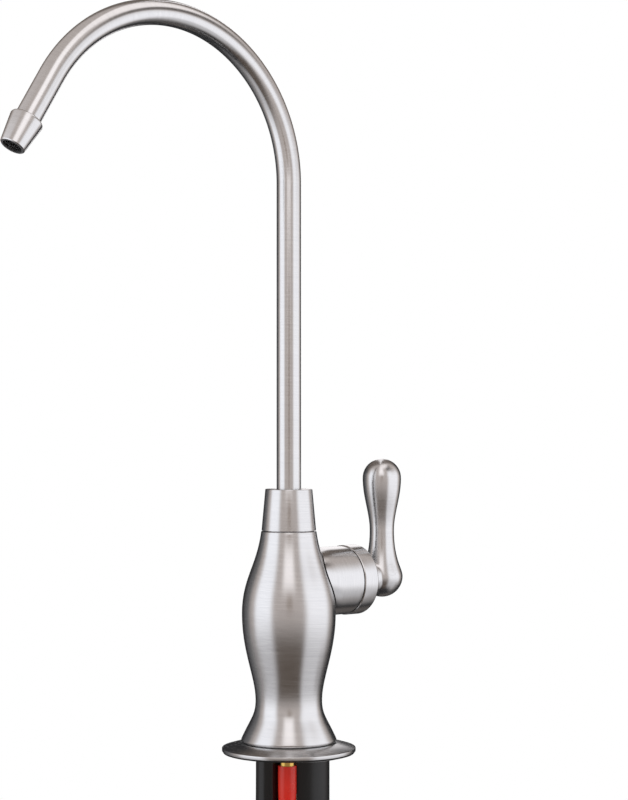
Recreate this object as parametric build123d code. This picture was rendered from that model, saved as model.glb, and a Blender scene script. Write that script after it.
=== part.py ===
from build123d import *
import math
import os

# Drinking water filter tap with an air gap, millimetres.
# Z is up from the deck, X runs from the tap's axis along the valve barrel, the spout points to -X at rest.

# Clearances and overruns shared by all pieces
cut_over = 1.0  # how far every cutting tool runs past the face it cuts
screwed_gap = 0.03  # between pieces that are screwed or pressed together
running_gap = 0.05  # between a turning piece and what guides it
loose_gap = 0.3  # between pieces that only pass each other
face_gap = 0.1  # between end faces that slide or turn on each other

# Shank, which is screwed into the foot block beside the tap's axis
shank_offset = 6.8
shank_radius = 5.55
shank_bore_radius = 3.0
shank_exposed = 20.7  # between the nut and the connector

# Foot block inside the body, which carries the shank and the two hose stubs
foot_block_wall = 1.85
foot_block_radius = shank_offset + shank_radius + foot_block_wall
foot_block_lift = 0.5
foot_block_height = 9.0
foot_block_web = 3.5
foot_socket_depth = 2.5
shank_top = foot_block_height - foot_block_web

# Body shell, a turned vase form
handle_height = 65.5  # of the valve's axis, which the waist, belly and neck are set from
body_wall = 2.2
body_foot_wall = 4.3
body_foot_radius = foot_block_radius + body_foot_wall
body_foot_edge = 1.3
body_foot_pull_share = 0.52
body_foot_slope_share = 0.45
body_waist_radius = 12.95
body_waist_height = 20.3
body_waist_low_pull_share = 0.39
body_waist_high_pull_share = 0.265
body_belly_radius = 18.25
body_belly_below_handle = 11.5
body_belly_height = handle_height - body_belly_below_handle
body_belly_low_pull_share = 0.445
body_belly_high_pull_share = 0.425
body_neck_above_handle = 20.5
body_neck_height = handle_height + body_neck_above_handle
body_neck_pull_share = 0.43
body_neck_slope_share = 0.13
vent_hole_radius = 1.25
vent_hole_height = 35.0

# Base plate and its gasket, which the tap stands on
base_land_margin = 0.5
base_land_radius = body_foot_radius + base_land_margin
base_land_height = 4.0
base_skirt = 7.0
base_plate_radius = base_land_radius + base_skirt
base_rim_lift = 0.6
base_rim_height = 1.4
base_hole_clearance = 2.3
base_hole_radius = foot_block_radius + base_hole_clearance
base_lip_width = 2.2
gasket_thickness = 1.2
gasket_setback = 0.4  # of its skirt, inside the plate's rim

# Clamp hardware under the deck
slotted_washer_radius = 20.0
slotted_washer_shift = 3.8
slotted_washer_thickness = 1.2
slotted_washer_slot_half = 9.6
spacer_radius = 10.7
spacer_bore_radius = 8.3
spacer_length = 44.0
spacer_slot_half = 6.6
spacer_edge = 1.2  # the rounded edge at its lower end
lock_washer_radius = 9.6
lock_washer_thickness = 0.8
lock_washer_tab_width = 5.0
lock_washer_tab_length = 2.8
nut_across_flats = 14.3
nut_height = 5.7
nut_chamfer = 0.9

# Push-fit connector on the shank's end
connector_hex_across_flats = 17.5
connector_hex_height = 13.8
connector_engagement = 11.0
connector_shoulder_height = 3.0
connector_neck_radius = 5.2
connector_neck_height = 4.4
connector_ring_radius = 6.9
connector_ring_height = 5.6
connector_cap_radius = 8.0
connector_cap_height = 5.3
connector_cap_taper_height = 3.0
connector_cap_mouth_radius = 5.8
connector_cap_wall = 1.2
connector_seal_thickness = 1.5
connector_o_ring_section_radius = 0.9
collet_wall = 1.475
collet_flange_width = 0.6
collet_proud = 2.0
collet_flange_height = 0.8
collet_length = 7.2
tube_stop_depth = 16.0

# Small tubes: a 1/4 inch supply, a 1/4 inch waste and a 3/8 inch drain
supply_tube_radius = 3.175
supply_tube_bore_radius = 2.15
waste_tube_radius = 3.175
waste_tube_bore_radius = 2.15
drain_tube_radius = 4.7625
drain_tube_bore_radius = 3.175

# Hose stubs under the foot block
hose_barb_length = 12.0
hose_barb_ridge = 0.35
hose_barb_pitch = 3.4
hose_barb_count = 3
waste_stub_showing = 4.5
waste_stub_radius = 2.9
waste_stub_bore_radius = 1.2
drain_stub_showing = 1.5
drain_stub_radius = 4.1
drain_pipe_radius = 3.3
drain_stub_bore_radius = 2.2

# Air gap inside the body: a cup round the two risers, seated on the foot block
funnel_gap = 0.65
funnel_wall = 1.0
funnel_floor = 1.4
funnel_foot_margin = 0.8
funnel_foot_radius = foot_block_radius - funnel_foot_margin
funnel_throat_radius = body_waist_radius - body_wall - funnel_gap
funnel_shoulder_share = 0.5455
funnel_flare = funnel_foot_radius - funnel_throat_radius
funnel_shoulder_radius = funnel_throat_radius + funnel_shoulder_share * funnel_flare
funnel_shoulder_rise = 3.4
funnel_shoulder_height = foot_block_height + funnel_shoulder_rise
funnel_throat_below_waist = 2.8
funnel_throat_height = body_waist_height - funnel_throat_below_waist
funnel_below_vent = 1.0
funnel_top = vent_hole_height - funnel_below_vent
supply_riser_radius = 3.4
supply_riser_bore_radius = 2.4
supply_riser_offset = funnel_throat_radius - funnel_wall - face_gap - supply_riser_radius
waste_riser_radius = 2.0
waste_riser_slant = 45.0
waste_reach = funnel_throat_radius - funnel_wall - loose_gap / 2 - waste_riser_radius
waste_bearing = math.radians(225.0)
waste_place = (waste_reach * math.cos(waste_bearing), waste_reach * math.sin(waste_bearing))
drain_reach = 8.2
drain_bearing = math.radians(151.5)
drain_place = (drain_reach * math.cos(drain_bearing), drain_reach * math.sin(drain_bearing))

# Ceramic cartridge, measured along the valve's axis from the tap's axis
disc_radius = 5.2
disc_thickness = 2.4
disc_port_radius = 1.5
disc_port_offset = 2.6
valve_seat_reach = 0.9
cartridge_seal_thickness = 0.7
cartridge_seal_margin = 0.2
cartridge_seal_bore_radius = 3.2
cartridge_start = valve_seat_reach + cartridge_seal_thickness
cartridge_disc_bore_radius = disc_radius + face_gap
cartridge_wall = 1.7
cartridge_radius = cartridge_disc_bore_radius + cartridge_wall
cartridge_flange_width = 1.5
cartridge_flange_thickness = 2.0
cartridge_window_rise = 0.6
cartridge_window_length = 3.0
cartridge_window_half = 2.6
spindle_plate_thickness = 1.8
spindle_plate_start = cartridge_start + 2 * disc_thickness + face_gap
cartridge_disc_end = spindle_plate_start + spindle_plate_thickness + face_gap

# Valve barrel, fixed to the body, measured the same way
barrel_flange_seat = 22.0
barrel_bore_radius = cartridge_radius + face_gap
barrel_nose_wall = 1.1
barrel_nose_radius = barrel_bore_radius + barrel_nose_wall
barrel_flange_radius = cartridge_radius + cartridge_flange_width + face_gap
barrel_thread_start = barrel_flange_seat + cartridge_flange_thickness
barrel_thread_step = 1.8
barrel_thread_radius = barrel_flange_radius + barrel_thread_step
barrel_thread_depth = 3.6
barrel_wall = 3.1
barrel_radius = barrel_thread_radius + barrel_wall
barrel_end = barrel_thread_start + barrel_thread_depth
barrel_edge = 0.3
barrel_cope_gap = 0.3

# Spindle and what holds it in the barrel
spindle_radius = 3.2
spindle_o_ring_setbacks = (9.0, 4.5)
spindle_o_ring_section_radius = 0.7
spindle_end_step = 0.3
spindle_end_radius = spindle_radius - spindle_end_step
spindle_flat_depth = 0.6
clip_thickness = 0.6
clip_width = 1.4
clip_groove_depth = 0.6
clip_mouth_half = 1.9
bonnet_nut_height = 3.1
bonnet_nut_hole_radius = 5.6
bonnet_nut_slot_half = 1.0
bonnet_nut_slot_depth = 1.2

# Spout tube, 3/8 inch outside, bent through most of a half turn
spout_tube_radius = 4.7625
spout_tube_wall = 1.0
spout_bend_radius = 59.7
spout_bend_angle = 148.0
spout_upright = 118.6
spout_straight = 19.0

# Valve block, which joins the riser, the cartridge and the spout
valve_block_wall = 1.2
valve_block_radius = supply_riser_offset + supply_riser_radius + valve_block_wall
valve_riser_socket_depth = 4.0
supply_gallery_radius = 2.2
supply_gallery_drop = 2.8
supply_gallery_height = handle_height - barrel_nose_radius - supply_gallery_drop
supply_gallery_reach = 3.6
supply_gallery_cover = 6.5
valve_block_bottom = supply_gallery_height - supply_gallery_cover
valve_chamber_gap = 0.2
valve_chamber_radius = cartridge_radius + valve_chamber_gap
valve_chamber_length = 4.6
valve_chamber_end = valve_seat_reach + valve_chamber_length
outlet_port_radius = 2.2
outlet_port_depth = 3.0
spout_socket_web = 0.8
spout_socket_bottom = handle_height + valve_chamber_radius + spout_socket_web
valve_shoulder_rise = 2.0
valve_block_shoulder = spout_socket_bottom + valve_shoulder_rise
spigot_wall = 1.1875
spout_socket_radius = spout_tube_radius + spigot_wall + running_gap
valve_nose_wall = 2.1
valve_nose_radius = spout_socket_radius + valve_nose_wall
valve_nose_above_neck = 10.0
valve_nose_top = body_neck_height + valve_nose_above_neck
waste_riser_below_valve = 5.0
waste_riser_top = valve_block_bottom - waste_riser_below_valve

# Spout spigot with its seals, the bush over it and the collar that keeps them down
spigot_lift = 1.5
spigot_bottom = spout_socket_bottom + spigot_lift
spigot_flange_margin = 0.9
spigot_flange_height = 1.8
spigot_flange_low = valve_nose_top + face_gap
spigot_top = spigot_flange_low + spigot_flange_height
spigot_bore_step = 0.5625
spigot_bore_radius = spout_tube_radius - spout_tube_wall - spigot_bore_step
spout_o_ring_section_radius = 0.9
spout_o_ring_rises = (4.0, 9.0)
spout_tube_seat = 3.0  # above the upper O-ring
spout_tube_foot = spigot_bottom + max(spout_o_ring_rises) + spout_o_ring_section_radius + spout_tube_seat
bush_low = spigot_top + face_gap
bush_height = 2.3
collar_lip_height = 2.1
collar_top = bush_low + bush_height + collar_lip_height
collar_wall = 1.05
collar_top_radius = valve_nose_radius + collar_wall
body_neck_wall = 2.65
body_neck_radius = valve_nose_radius + body_neck_wall
collar_step = 0.15
collar_bottom_radius = body_neck_radius - collar_step
collar_edge = 0.4
spout_bend_height = collar_top + spout_upright

# Spout tip
tip_length = 12.3
tip_wall = 1.4875
tip_top_radius = spout_tube_radius + tip_wall
tip_outlet_step = 0.0625
tip_outlet_radius = spout_tube_radius - spout_tube_wall - tip_outlet_step
tip_rim_wall = 1.05
tip_bottom_radius = tip_outlet_radius + tip_rim_wall
tip_shoulder_edge = 1.1
tip_socket_depth = 8.0
tip_rim_edge = 0.3

# Lever handle: a turning hub, a short neck and an upright lever
hub_start = barrel_end + loose_gap
hub_length = 7.3
hub_end = hub_start + hub_length
hub_step = 0.3
hub_radius = barrel_radius + hub_step
hub_edge = 0.3
hub_outer_edge = 1.0
hub_cavity_margin = 1.0
hub_cavity_radius = barrel_thread_radius + hub_cavity_margin
hub_cavity_depth = 3.6
neck_root_step = 3.4
neck_root_radius = hub_radius - neck_root_step
neck_radius = 6.2
neck_curve_length = 6.3
neck_reach = hub_end + neck_curve_length
lever_stand_off = 13.8
lever_offset = hub_end + lever_stand_off
bulb_radius = 8.4
bulb_rise = 0.5
bulb_height = handle_height + bulb_rise
bulb_pull_share = 0.162
lever_waist_radius = 4.9
lever_waist_rise = 18.5
lever_waist_height = bulb_height + lever_waist_rise
lever_waist_low_pull_share = 0.649
lever_waist_high_pull_share = 0.332
head_radius = 7.75
head_rise = 21.1
head_height = lever_waist_height + head_rise
head_pull_share = 0.379
spindle_overreach = 1.2
spindle_end = lever_offset + spindle_overreach
grub_screw_setback = 1.5
grub_screw_place = lever_offset - grub_screw_setback
grub_screw_tilt = 25.0
grub_screw_radius = 2.0
grub_screw_length = 4.0
grub_screw_socket_radius = 1.0
grub_screw_socket_depth = 1.6
plug_radius = 2.3
plug_thickness = 1.1
plug_sink = 0.15

# Hose routes, chosen by hand from how the three hang under the tap
supply_route_rest = [
    (8.4, 0.3, -153.0),
    (11.6, 0.7, -186.0),
    (14.6, 0.8, -219.0),
    (16.4, 0.5, -250.0),
]
waste_route_rest = [
    (-5.6, -5.7, -73.0),
    (-5.2, -7.1, -109.0),
    (-2.7, -8.7, -145.0),
    (0.9, -9.9, -181.0),
    (3.6, -10.4, -217.0),
    (5.0, -10.3, -250.0),
]
drain_route_rest = [
    (-9.0, 4.6, -72.0),
    (-9.5, 5.6, -108.0),
    (-7.4, 6.9, -144.0),
    (-3.8, 8.1, -181.0),
    (-1.0, 8.9, -217.0),
    (0.2, 9.2, -250.0),
]
supply_first_run = 28.0
waste_first_run = 34.0
drain_first_run = 35.0
arc_run_share = 0.45  # of the shorter run beside each bend that its arc takes

# Places below the deck that follow from the clamp stack and the hoses
collet_radius = supply_tube_radius + running_gap + collet_wall
shank_x = Pos(shank_offset, 0, 0)
slotted_washer_top = -face_gap
spacer_top = slotted_washer_top - slotted_washer_thickness
lock_washer_top = spacer_top - spacer_length
nut_top = lock_washer_top - lock_washer_thickness
connector_top = nut_top - nut_height - shank_exposed
shank_bottom = connector_top - connector_engagement
connector_shoulder_top = connector_top - connector_hex_height
connector_neck_top = connector_shoulder_top - connector_shoulder_height
connector_ring_top = connector_neck_top - connector_neck_height
connector_cap_top = connector_ring_top - connector_ring_height
connector_cap_bottom = connector_cap_top - connector_cap_height - connector_cap_taper_height
collet_bottom = connector_cap_bottom - collet_proud
tube_stop = collet_bottom + tube_stop_depth


def rod(radius, low, high):
    return Pos(0, 0, low) * extrude(Circle(radius), high - low)


def ring(radius, bore, low, high):
    return Pos(0, 0, low) * extrude(Circle(radius) - Circle(bore), high - low)


def block(low, high):
    size = [b - a for a, b in zip(low, high)]
    return Pos(*low) * Box(*size, align=Align.MIN)


def turned(*lines):
    """A solid turned round Z from lines in (radius, height) that close into one outline."""
    outline = Curve() + list(lines)
    return revolve(make_face(Plane.XZ * outline), Axis.Z)


def turned_polygon(*points):
    return revolve(make_face(Plane.XZ * Polyline(*points, close=True)), Axis.Z)


def o_ring(centre_radius, section_radius, height):
    section = Pos(centre_radius, 0, height) * (Plane.XZ * Circle(section_radius))
    return revolve(section, Axis.Z)


def along_valve(shape):
    """A piece made round Z is laid along the valve's axis: heights become distances from the tap's axis."""
    return Pos(0, 0, handle_height) * Rot(0, 90, 0) * shape


def body_form(inset, low, high):
    """The vase form of the body, a wall's thickness inside its outside, between two heights."""
    foot = body_foot_radius - inset
    waist = body_waist_radius - inset
    belly = body_belly_radius - inset
    neck = body_neck_radius - inset
    foot_height = base_land_height + body_foot_edge
    foot_run = body_waist_height - foot_height
    foot_pull = body_foot_pull_share * foot_run
    waist_run = body_belly_height - body_waist_height
    belly_run = body_neck_height - body_belly_height
    neck_pull = body_neck_pull_share * belly_run
    to_waist = Bezier(
        (foot, foot_height),
        (foot - body_foot_slope_share * foot_pull, foot_height + foot_pull),
        (waist, body_waist_height - body_waist_low_pull_share * foot_run),
        (waist, body_waist_height),
    )
    to_belly = Bezier(
        (waist, body_waist_height),
        (waist, body_waist_height + body_waist_high_pull_share * waist_run),
        (belly, body_belly_height - body_belly_low_pull_share * waist_run),
        (belly, body_belly_height),
    )
    to_neck = Bezier(
        (belly, body_belly_height),
        (belly, body_belly_height + body_belly_high_pull_share * belly_run),
        (neck + body_neck_slope_share * neck_pull, body_neck_height - neck_pull),
        (neck, body_neck_height),
    )
    top = Line((neck, body_neck_height), (0, body_neck_height))
    middle = Line((0, body_neck_height), (0, base_land_height))
    bottom = Line((0, base_land_height), (foot - body_foot_edge, base_land_height))
    edge = RadiusArc((foot - body_foot_edge, base_land_height), (foot, foot_height), -body_foot_edge)
    form = turned(to_waist, to_belly, to_neck, top, middle, bottom, edge)
    return form & rod(base_plate_radius, low, high)


def base_plate():
    plate = turned_polygon(
        (base_hole_radius, base_rim_lift),
        (base_plate_radius, base_rim_lift),
        (base_plate_radius, base_rim_lift + base_rim_height),
        (base_land_radius, base_land_height),
        (base_hole_radius, base_land_height),
    )
    recess = ring(
        base_plate_radius - base_lip_width,
        base_hole_radius,
        base_rim_lift - cut_over,
        gasket_thickness,
    )
    recess -= rod(base_hole_radius, -cut_over, base_land_height)
    return plate - recess


def base_gasket():
    """A ring that fills the plate's recess, with a rounded skirt that shows under the plate's rim."""
    pad_radius = base_plate_radius - base_lip_width - screwed_gap
    skirt_radius = base_plate_radius - gasket_setback
    skirt_round = base_rim_lift / 2
    skirt_flat = skirt_radius - skirt_round
    return turned(
        Line((base_hole_radius, 0), (skirt_flat, 0)),
        ThreePointArc((skirt_flat, 0), (skirt_radius, skirt_round), (skirt_flat, base_rim_lift)),
        Line((skirt_flat, base_rim_lift), (pad_radius, base_rim_lift)),
        Line((pad_radius, base_rim_lift), (pad_radius, gasket_thickness)),
        Line((pad_radius, gasket_thickness), (base_hole_radius, gasket_thickness)),
        Line((base_hole_radius, gasket_thickness), (base_hole_radius, 0)),
    )


def body_shell():
    shell = body_form(0, base_land_height, body_neck_height)
    hollow = body_form(body_wall, foot_block_height, valve_block_shoulder)
    foot_bore = rod(foot_block_radius + screwed_gap, base_land_height - cut_over, foot_block_height)
    hollow += rod(valve_block_radius + loose_gap, valve_block_bottom, valve_block_shoulder)
    neck_bore = rod(valve_nose_radius + screwed_gap, valve_block_shoulder, body_neck_height + cut_over)
    barrel_hole = along_valve(rod(barrel_nose_radius + screwed_gap, 0, base_plate_radius))
    vent = Pos(0, 0, vent_hole_height) * Rot(-90, 0, 0) * rod(vent_hole_radius, 0, base_plate_radius)
    return shell - hollow - foot_bore - neck_bore - barrel_hole - vent


def foot_block():
    lower = rod(base_hole_radius - loose_gap, foot_block_lift, base_land_height)
    upper = rod(foot_block_radius, base_land_height, foot_block_height)
    shank_hole = shank_x * rod(shank_radius + screwed_gap, foot_block_lift - cut_over, shank_top)
    passage = Pos(supply_riser_offset, 0, 0) * rod(
        supply_riser_bore_radius, shank_top - cut_over, foot_block_height
    )
    riser_socket = Pos(supply_riser_offset, 0, 0) * rod(
        supply_riser_radius + screwed_gap,
        foot_block_height - foot_socket_depth,
        foot_block_height + cut_over,
    )
    waste_hole = Pos(*waste_place) * rod(waste_riser_radius + screwed_gap, 0, foot_block_height + cut_over)
    drain_hole = Pos(*drain_place) * rod(drain_pipe_radius + screwed_gap, 0, foot_block_height + cut_over)
    return lower + upper - shank_hole - passage - riser_socket - waste_hole - drain_hole


def shank():
    return shank_x * ring(shank_radius, shank_bore_radius, shank_bottom, shank_top)


def supply_riser():
    low = foot_block_height - foot_socket_depth
    high = valve_block_bottom + valve_riser_socket_depth
    return Pos(supply_riser_offset, 0, 0) * ring(supply_riser_radius, supply_riser_bore_radius, low, high)


def barbed_stub(collar_radius, spigot_radius, bore_radius, grip_radius, showing, top):
    """A hose stub: a spigot fixed in the foot block, a collar under it and a barbed end for the hose."""
    collar_bottom = foot_block_lift - showing
    stub = rod(spigot_radius, foot_block_lift, top)
    stub += rod(collar_radius, collar_bottom, foot_block_lift)
    stub += rod(grip_radius - hose_barb_ridge, collar_bottom - hose_barb_length, collar_bottom)
    for number in range(hose_barb_count):
        low = collar_bottom - hose_barb_length + number * hose_barb_pitch
        stub += Pos(0, 0, low) * Cone(
            grip_radius - hose_barb_ridge,
            grip_radius,
            hose_barb_pitch - hose_barb_ridge,
            align=(Align.CENTER, Align.CENTER, Align.MIN),
        )
    return stub - rod(bore_radius, collar_bottom - hose_barb_length - cut_over, top + cut_over)


def waste_barb():
    return Pos(*waste_place) * barbed_stub(
        waste_stub_radius,
        waste_riser_radius,
        waste_stub_bore_radius,
        waste_tube_bore_radius,
        waste_stub_showing,
        foot_block_height,
    )


def waste_riser():
    tube = ring(waste_riser_radius, waste_stub_bore_radius, foot_block_height, waste_riser_top)
    slant = Pos(0, 0, waste_riser_top) * Rot(0, waste_riser_slant, 0) * block(
        (-valve_block_radius, -valve_block_radius, 0),
        (valve_block_radius, valve_block_radius, valve_block_radius),
    )
    return Pos(*waste_place) * (tube - slant)


def drain_spigot():
    return Pos(*drain_place) * barbed_stub(
        drain_stub_radius,
        drain_pipe_radius,
        drain_stub_bore_radius,
        drain_tube_bore_radius,
        drain_stub_showing,
        foot_block_height,
    )


def funnel_outline(inset):
    return [
        (0, foot_block_height),
        (funnel_foot_radius - inset, foot_block_height),
        (funnel_shoulder_radius - inset, funnel_shoulder_height),
        (funnel_throat_radius - inset, funnel_throat_height),
        (funnel_throat_radius - inset, funnel_top),
        (0, funnel_top),
    ]


def air_gap_funnel():
    cup = turned_polygon(*funnel_outline(0))
    hollow = turned_polygon(*funnel_outline(funnel_wall))
    floor = rod(funnel_foot_radius, 0, foot_block_height + funnel_floor)
    cup -= hollow - floor
    cup -= Pos(supply_riser_offset, 0, 0) * rod(supply_riser_radius + running_gap, 0, funnel_top + cut_over)
    cup -= Pos(*waste_place) * rod(waste_riser_radius + running_gap, 0, funnel_top + cut_over)
    cup -= Pos(*drain_place) * rod(drain_stub_bore_radius, 0, funnel_shoulder_height)
    return cup


def valve_block():
    brass = rod(valve_block_radius, valve_block_bottom, valve_block_shoulder)
    brass += rod(valve_nose_radius, valve_block_shoulder, valve_nose_top)
    brass -= rod(spout_socket_radius, spout_socket_bottom, valve_nose_top + cut_over)
    brass -= along_valve(rod(valve_chamber_radius, valve_seat_reach, valve_chamber_end))
    brass -= along_valve(
        rod(barrel_nose_radius + screwed_gap, valve_chamber_end, valve_block_radius + cut_over)
    )
    outlet_port_offset = valve_seat_reach + valve_chamber_length / 2
    brass -= Pos(outlet_port_offset, 0, 0) * rod(
        outlet_port_radius, spout_socket_bottom - outlet_port_depth, spout_socket_bottom + cut_over
    )
    brass -= Pos(supply_riser_offset, 0, 0) * rod(
        supply_riser_radius + screwed_gap,
        valve_block_bottom - cut_over,
        valve_block_bottom + valve_riser_socket_depth,
    )
    brass -= Pos(supply_riser_offset, 0, 0) * rod(
        supply_gallery_radius, valve_block_bottom, supply_gallery_height
    )
    gallery = Rot(0, 90, 0) * rod(supply_gallery_radius, -supply_gallery_reach, supply_riser_offset)
    brass -= Pos(0, 0, supply_gallery_height) * gallery
    brass -= Pos(-supply_gallery_reach, 0, 0) * rod(
        supply_gallery_radius, supply_gallery_height, handle_height
    )
    brass -= along_valve(rod(supply_gallery_radius, -supply_gallery_reach, valve_seat_reach + cut_over))
    return brass


def spout_collar():
    collar = turned_polygon(
        (0, body_neck_height),
        (collar_bottom_radius - collar_edge, body_neck_height),
        (collar_bottom_radius, body_neck_height + collar_edge),
        (collar_top_radius, collar_top - collar_edge),
        (collar_top_radius - collar_edge, collar_top),
        (0, collar_top),
    )
    collar -= rod(valve_nose_radius + screwed_gap, body_neck_height - cut_over, bush_low)
    collar -= rod(
        valve_nose_radius - running_gap, body_neck_height, collar_top - collar_lip_height
    )
    return collar - rod(spout_tube_radius + loose_gap, body_neck_height, collar_top + cut_over)


def spout_bush():
    high = collar_top - collar_lip_height
    return ring(valve_nose_radius - running_gap, spout_tube_radius + running_gap, bush_low, high)


def spout_o_ring_centre():
    return spout_socket_radius - running_gap / 2 - spout_o_ring_section_radius


def spout_spigot():
    spigot = rod(spout_socket_radius - running_gap, spigot_bottom, spigot_flange_low)
    spigot += rod(valve_nose_radius - spigot_flange_margin, spigot_flange_low, spigot_top)
    spigot -= rod(spigot_bore_radius, spigot_bottom - cut_over, spigot_top)
    spigot -= rod(spout_tube_radius, spout_tube_foot, spigot_top + cut_over)
    groove_radius = spout_o_ring_centre() - spout_o_ring_section_radius - screwed_gap
    for rise in spout_o_ring_rises:
        middle = spigot_bottom + rise
        spigot -= ring(
            spout_socket_radius,
            groove_radius,
            middle - spout_o_ring_section_radius,
            middle + spout_o_ring_section_radius,
        )
    return spigot


def spout_o_rings():
    rings = [
        o_ring(spout_o_ring_centre(), spout_o_ring_section_radius, spigot_bottom + rise)
        for rise in spout_o_ring_rises
    ]
    return Compound(rings)


def spout_path(extra):
    """The spout's centre line from its socket in the spigot to its end, with a stretch inside the tip."""
    upright = Line((0, spout_tube_foot), (0, spout_bend_height))
    bend = CenterArc((-spout_bend_radius, spout_bend_height), spout_bend_radius, 0, spout_bend_angle)
    end = PolarLine(bend @ 1, spout_straight + extra, direction=bend % 1)
    return Plane.XZ * (Curve() + [upright, bend, end])


def spout_end(extra):
    """The place on the centre line a given way past the visible tube, looking out along it."""
    turn = math.radians(spout_bend_angle)
    reach = spout_straight + extra
    x = -spout_bend_radius + spout_bend_radius * math.cos(turn) - reach * math.sin(turn)
    z = spout_bend_height + spout_bend_radius * math.sin(turn) + reach * math.cos(turn)
    return Plane(origin=(x, 0, z), x_dir=(0, 1, 0), z_dir=(-math.sin(turn), 0, math.cos(turn)))


def spout_tube():
    path = spout_path(tip_socket_depth)
    start = Plane(origin=path @ 0, z_dir=path % 0)
    outer = sweep(start * Circle(spout_tube_radius), path)
    inner = sweep(start * Circle(spout_tube_radius - spout_tube_wall), path)
    return outer - inner


def spout_tip():
    tip = turned(
        Line((0, 0), (tip_top_radius - tip_shoulder_edge, 0)),
        RadiusArc(
            (tip_top_radius - tip_shoulder_edge, 0),
            (tip_top_radius, tip_shoulder_edge),
            -tip_shoulder_edge,
        ),
        Polyline(
            (tip_top_radius, tip_shoulder_edge),
            (tip_bottom_radius, tip_length - tip_rim_edge),
            (tip_bottom_radius - tip_rim_edge, tip_length),
            (0, tip_length),
            (0, 0),
        ),
    )
    tip -= rod(spout_tube_radius, -cut_over, tip_socket_depth)
    tip -= rod(tip_outlet_radius, 0, tip_length + cut_over)
    return spout_end(0) * tip


def valve_sleeve():
    barrel = rod(barrel_radius, 0, barrel_end - barrel_edge)
    barrel += Pos(0, 0, barrel_end - barrel_edge) * Cone(
        barrel_radius,
        barrel_radius - barrel_edge,
        barrel_edge,
        align=(Align.CENTER, Align.CENTER, Align.MIN),
    )
    barrel = along_valve(barrel) - body_form(-barrel_cope_gap, base_land_height, body_neck_height)
    barrel += along_valve(rod(barrel_nose_radius, valve_chamber_end, body_belly_radius + cut_over))
    barrel -= along_valve(rod(barrel_bore_radius, valve_chamber_end - cut_over, barrel_end))
    barrel -= along_valve(rod(barrel_flange_radius, barrel_flange_seat, barrel_end))
    return barrel - along_valve(rod(barrel_thread_radius, barrel_thread_start, barrel_end + cut_over))


def cartridge_body():
    brass = rod(cartridge_radius, cartridge_start, barrel_flange_seat)
    brass += rod(cartridge_radius + cartridge_flange_width, barrel_flange_seat, barrel_thread_start)
    brass -= rod(cartridge_disc_bore_radius, cartridge_start - cut_over, cartridge_disc_end)
    spindle_bore = spindle_radius + running_gap
    brass -= rod(spindle_bore, cartridge_disc_end - cut_over, barrel_thread_start + cut_over)
    window_start = cartridge_start + disc_thickness + cartridge_window_rise
    window = block(
        (-cartridge_radius - cut_over, -cartridge_window_half, window_start),
        (cartridge_radius + cut_over, cartridge_window_half, window_start + cartridge_window_length),
    )
    return along_valve(brass - window)


def cartridge_seal():
    radius = disc_radius + cartridge_seal_margin
    return along_valve(ring(radius, cartridge_seal_bore_radius, valve_seat_reach, cartridge_start))


def ported_disc(start, angle):
    """A ceramic disc with two ports, turned by an angle about the valve's axis."""
    disc = rod(disc_radius, start, start + disc_thickness)
    for side in (-1, 1):
        port = rod(disc_port_radius, start - cut_over, start + disc_thickness + cut_over)
        disc -= Rot(0, 0, angle) * Pos(side * disc_port_offset, 0, 0) * port
    return along_valve(disc)


def fixed_disc():
    return ported_disc(cartridge_start, 0)


def moving_disc():
    return ported_disc(cartridge_start + disc_thickness + face_gap / 2, 90)


def spindle_o_ring_centre():
    return spindle_radius + running_gap / 2 - spindle_o_ring_section_radius


def valve_spindle():
    plate_end = spindle_plate_start + spindle_plate_thickness
    end_start = barrel_end + face_gap
    spindle = rod(disc_radius, spindle_plate_start, plate_end)
    spindle += rod(spindle_radius, plate_end, end_start)
    spindle += rod(spindle_end_radius, end_start, spindle_end)
    flat_cut = block(
        (-cut_over - spindle_end_radius, spindle_end_radius - spindle_flat_depth, hub_end),
        (cut_over + spindle_end_radius, spindle_end_radius + cut_over, spindle_end + cut_over),
    )
    spindle -= Rot(0, 0, 180 - grub_screw_tilt) * flat_cut
    groove_radius = spindle_o_ring_centre() - spindle_o_ring_section_radius - screwed_gap
    for setback in spindle_o_ring_setbacks:
        middle = barrel_flange_seat - setback
        spindle -= ring(
            spindle_radius + cut_over,
            groove_radius,
            middle - spindle_o_ring_section_radius,
            middle + spindle_o_ring_section_radius,
        )
    clip_low = barrel_thread_start + face_gap
    spindle -= ring(
        spindle_radius + cut_over, spindle_radius - clip_groove_depth, clip_low, clip_low + clip_thickness
    )
    return along_valve(spindle)


def spindle_o_rings():
    rings = [
        o_ring(spindle_o_ring_centre(), spindle_o_ring_section_radius, barrel_flange_seat - setback)
        for setback in spindle_o_ring_setbacks
    ]
    return along_valve(Compound(rings))


def spindle_clip():
    low = barrel_thread_start + face_gap
    outside = spindle_radius + clip_width
    clip = ring(outside, spindle_radius - clip_groove_depth, low, low + clip_thickness)
    mouth = block((0, -clip_mouth_half, low - cut_over), (outside, clip_mouth_half, low + cut_over))
    return along_valve(clip - mouth)


def bonnet_nut():
    high = barrel_thread_start + bonnet_nut_height
    nut = ring(barrel_thread_radius - screwed_gap, bonnet_nut_hole_radius, barrel_thread_start, high)
    slot = block(
        (-barrel_thread_radius, -bonnet_nut_slot_half, high - bonnet_nut_slot_depth),
        (barrel_thread_radius, bonnet_nut_slot_half, high + cut_over),
    )
    return along_valve(nut - slot)


def grub_screw_axis():
    """The grub screw's place: square to the spindle, from the front and tilted up, its Z pointing out."""
    tilt = math.radians(grub_screw_tilt)
    return Plane(
        origin=(grub_screw_place, 0, handle_height),
        x_dir=(1, 0, 0),
        z_dir=(0, -math.cos(tilt), math.sin(tilt)),
    )


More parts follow.
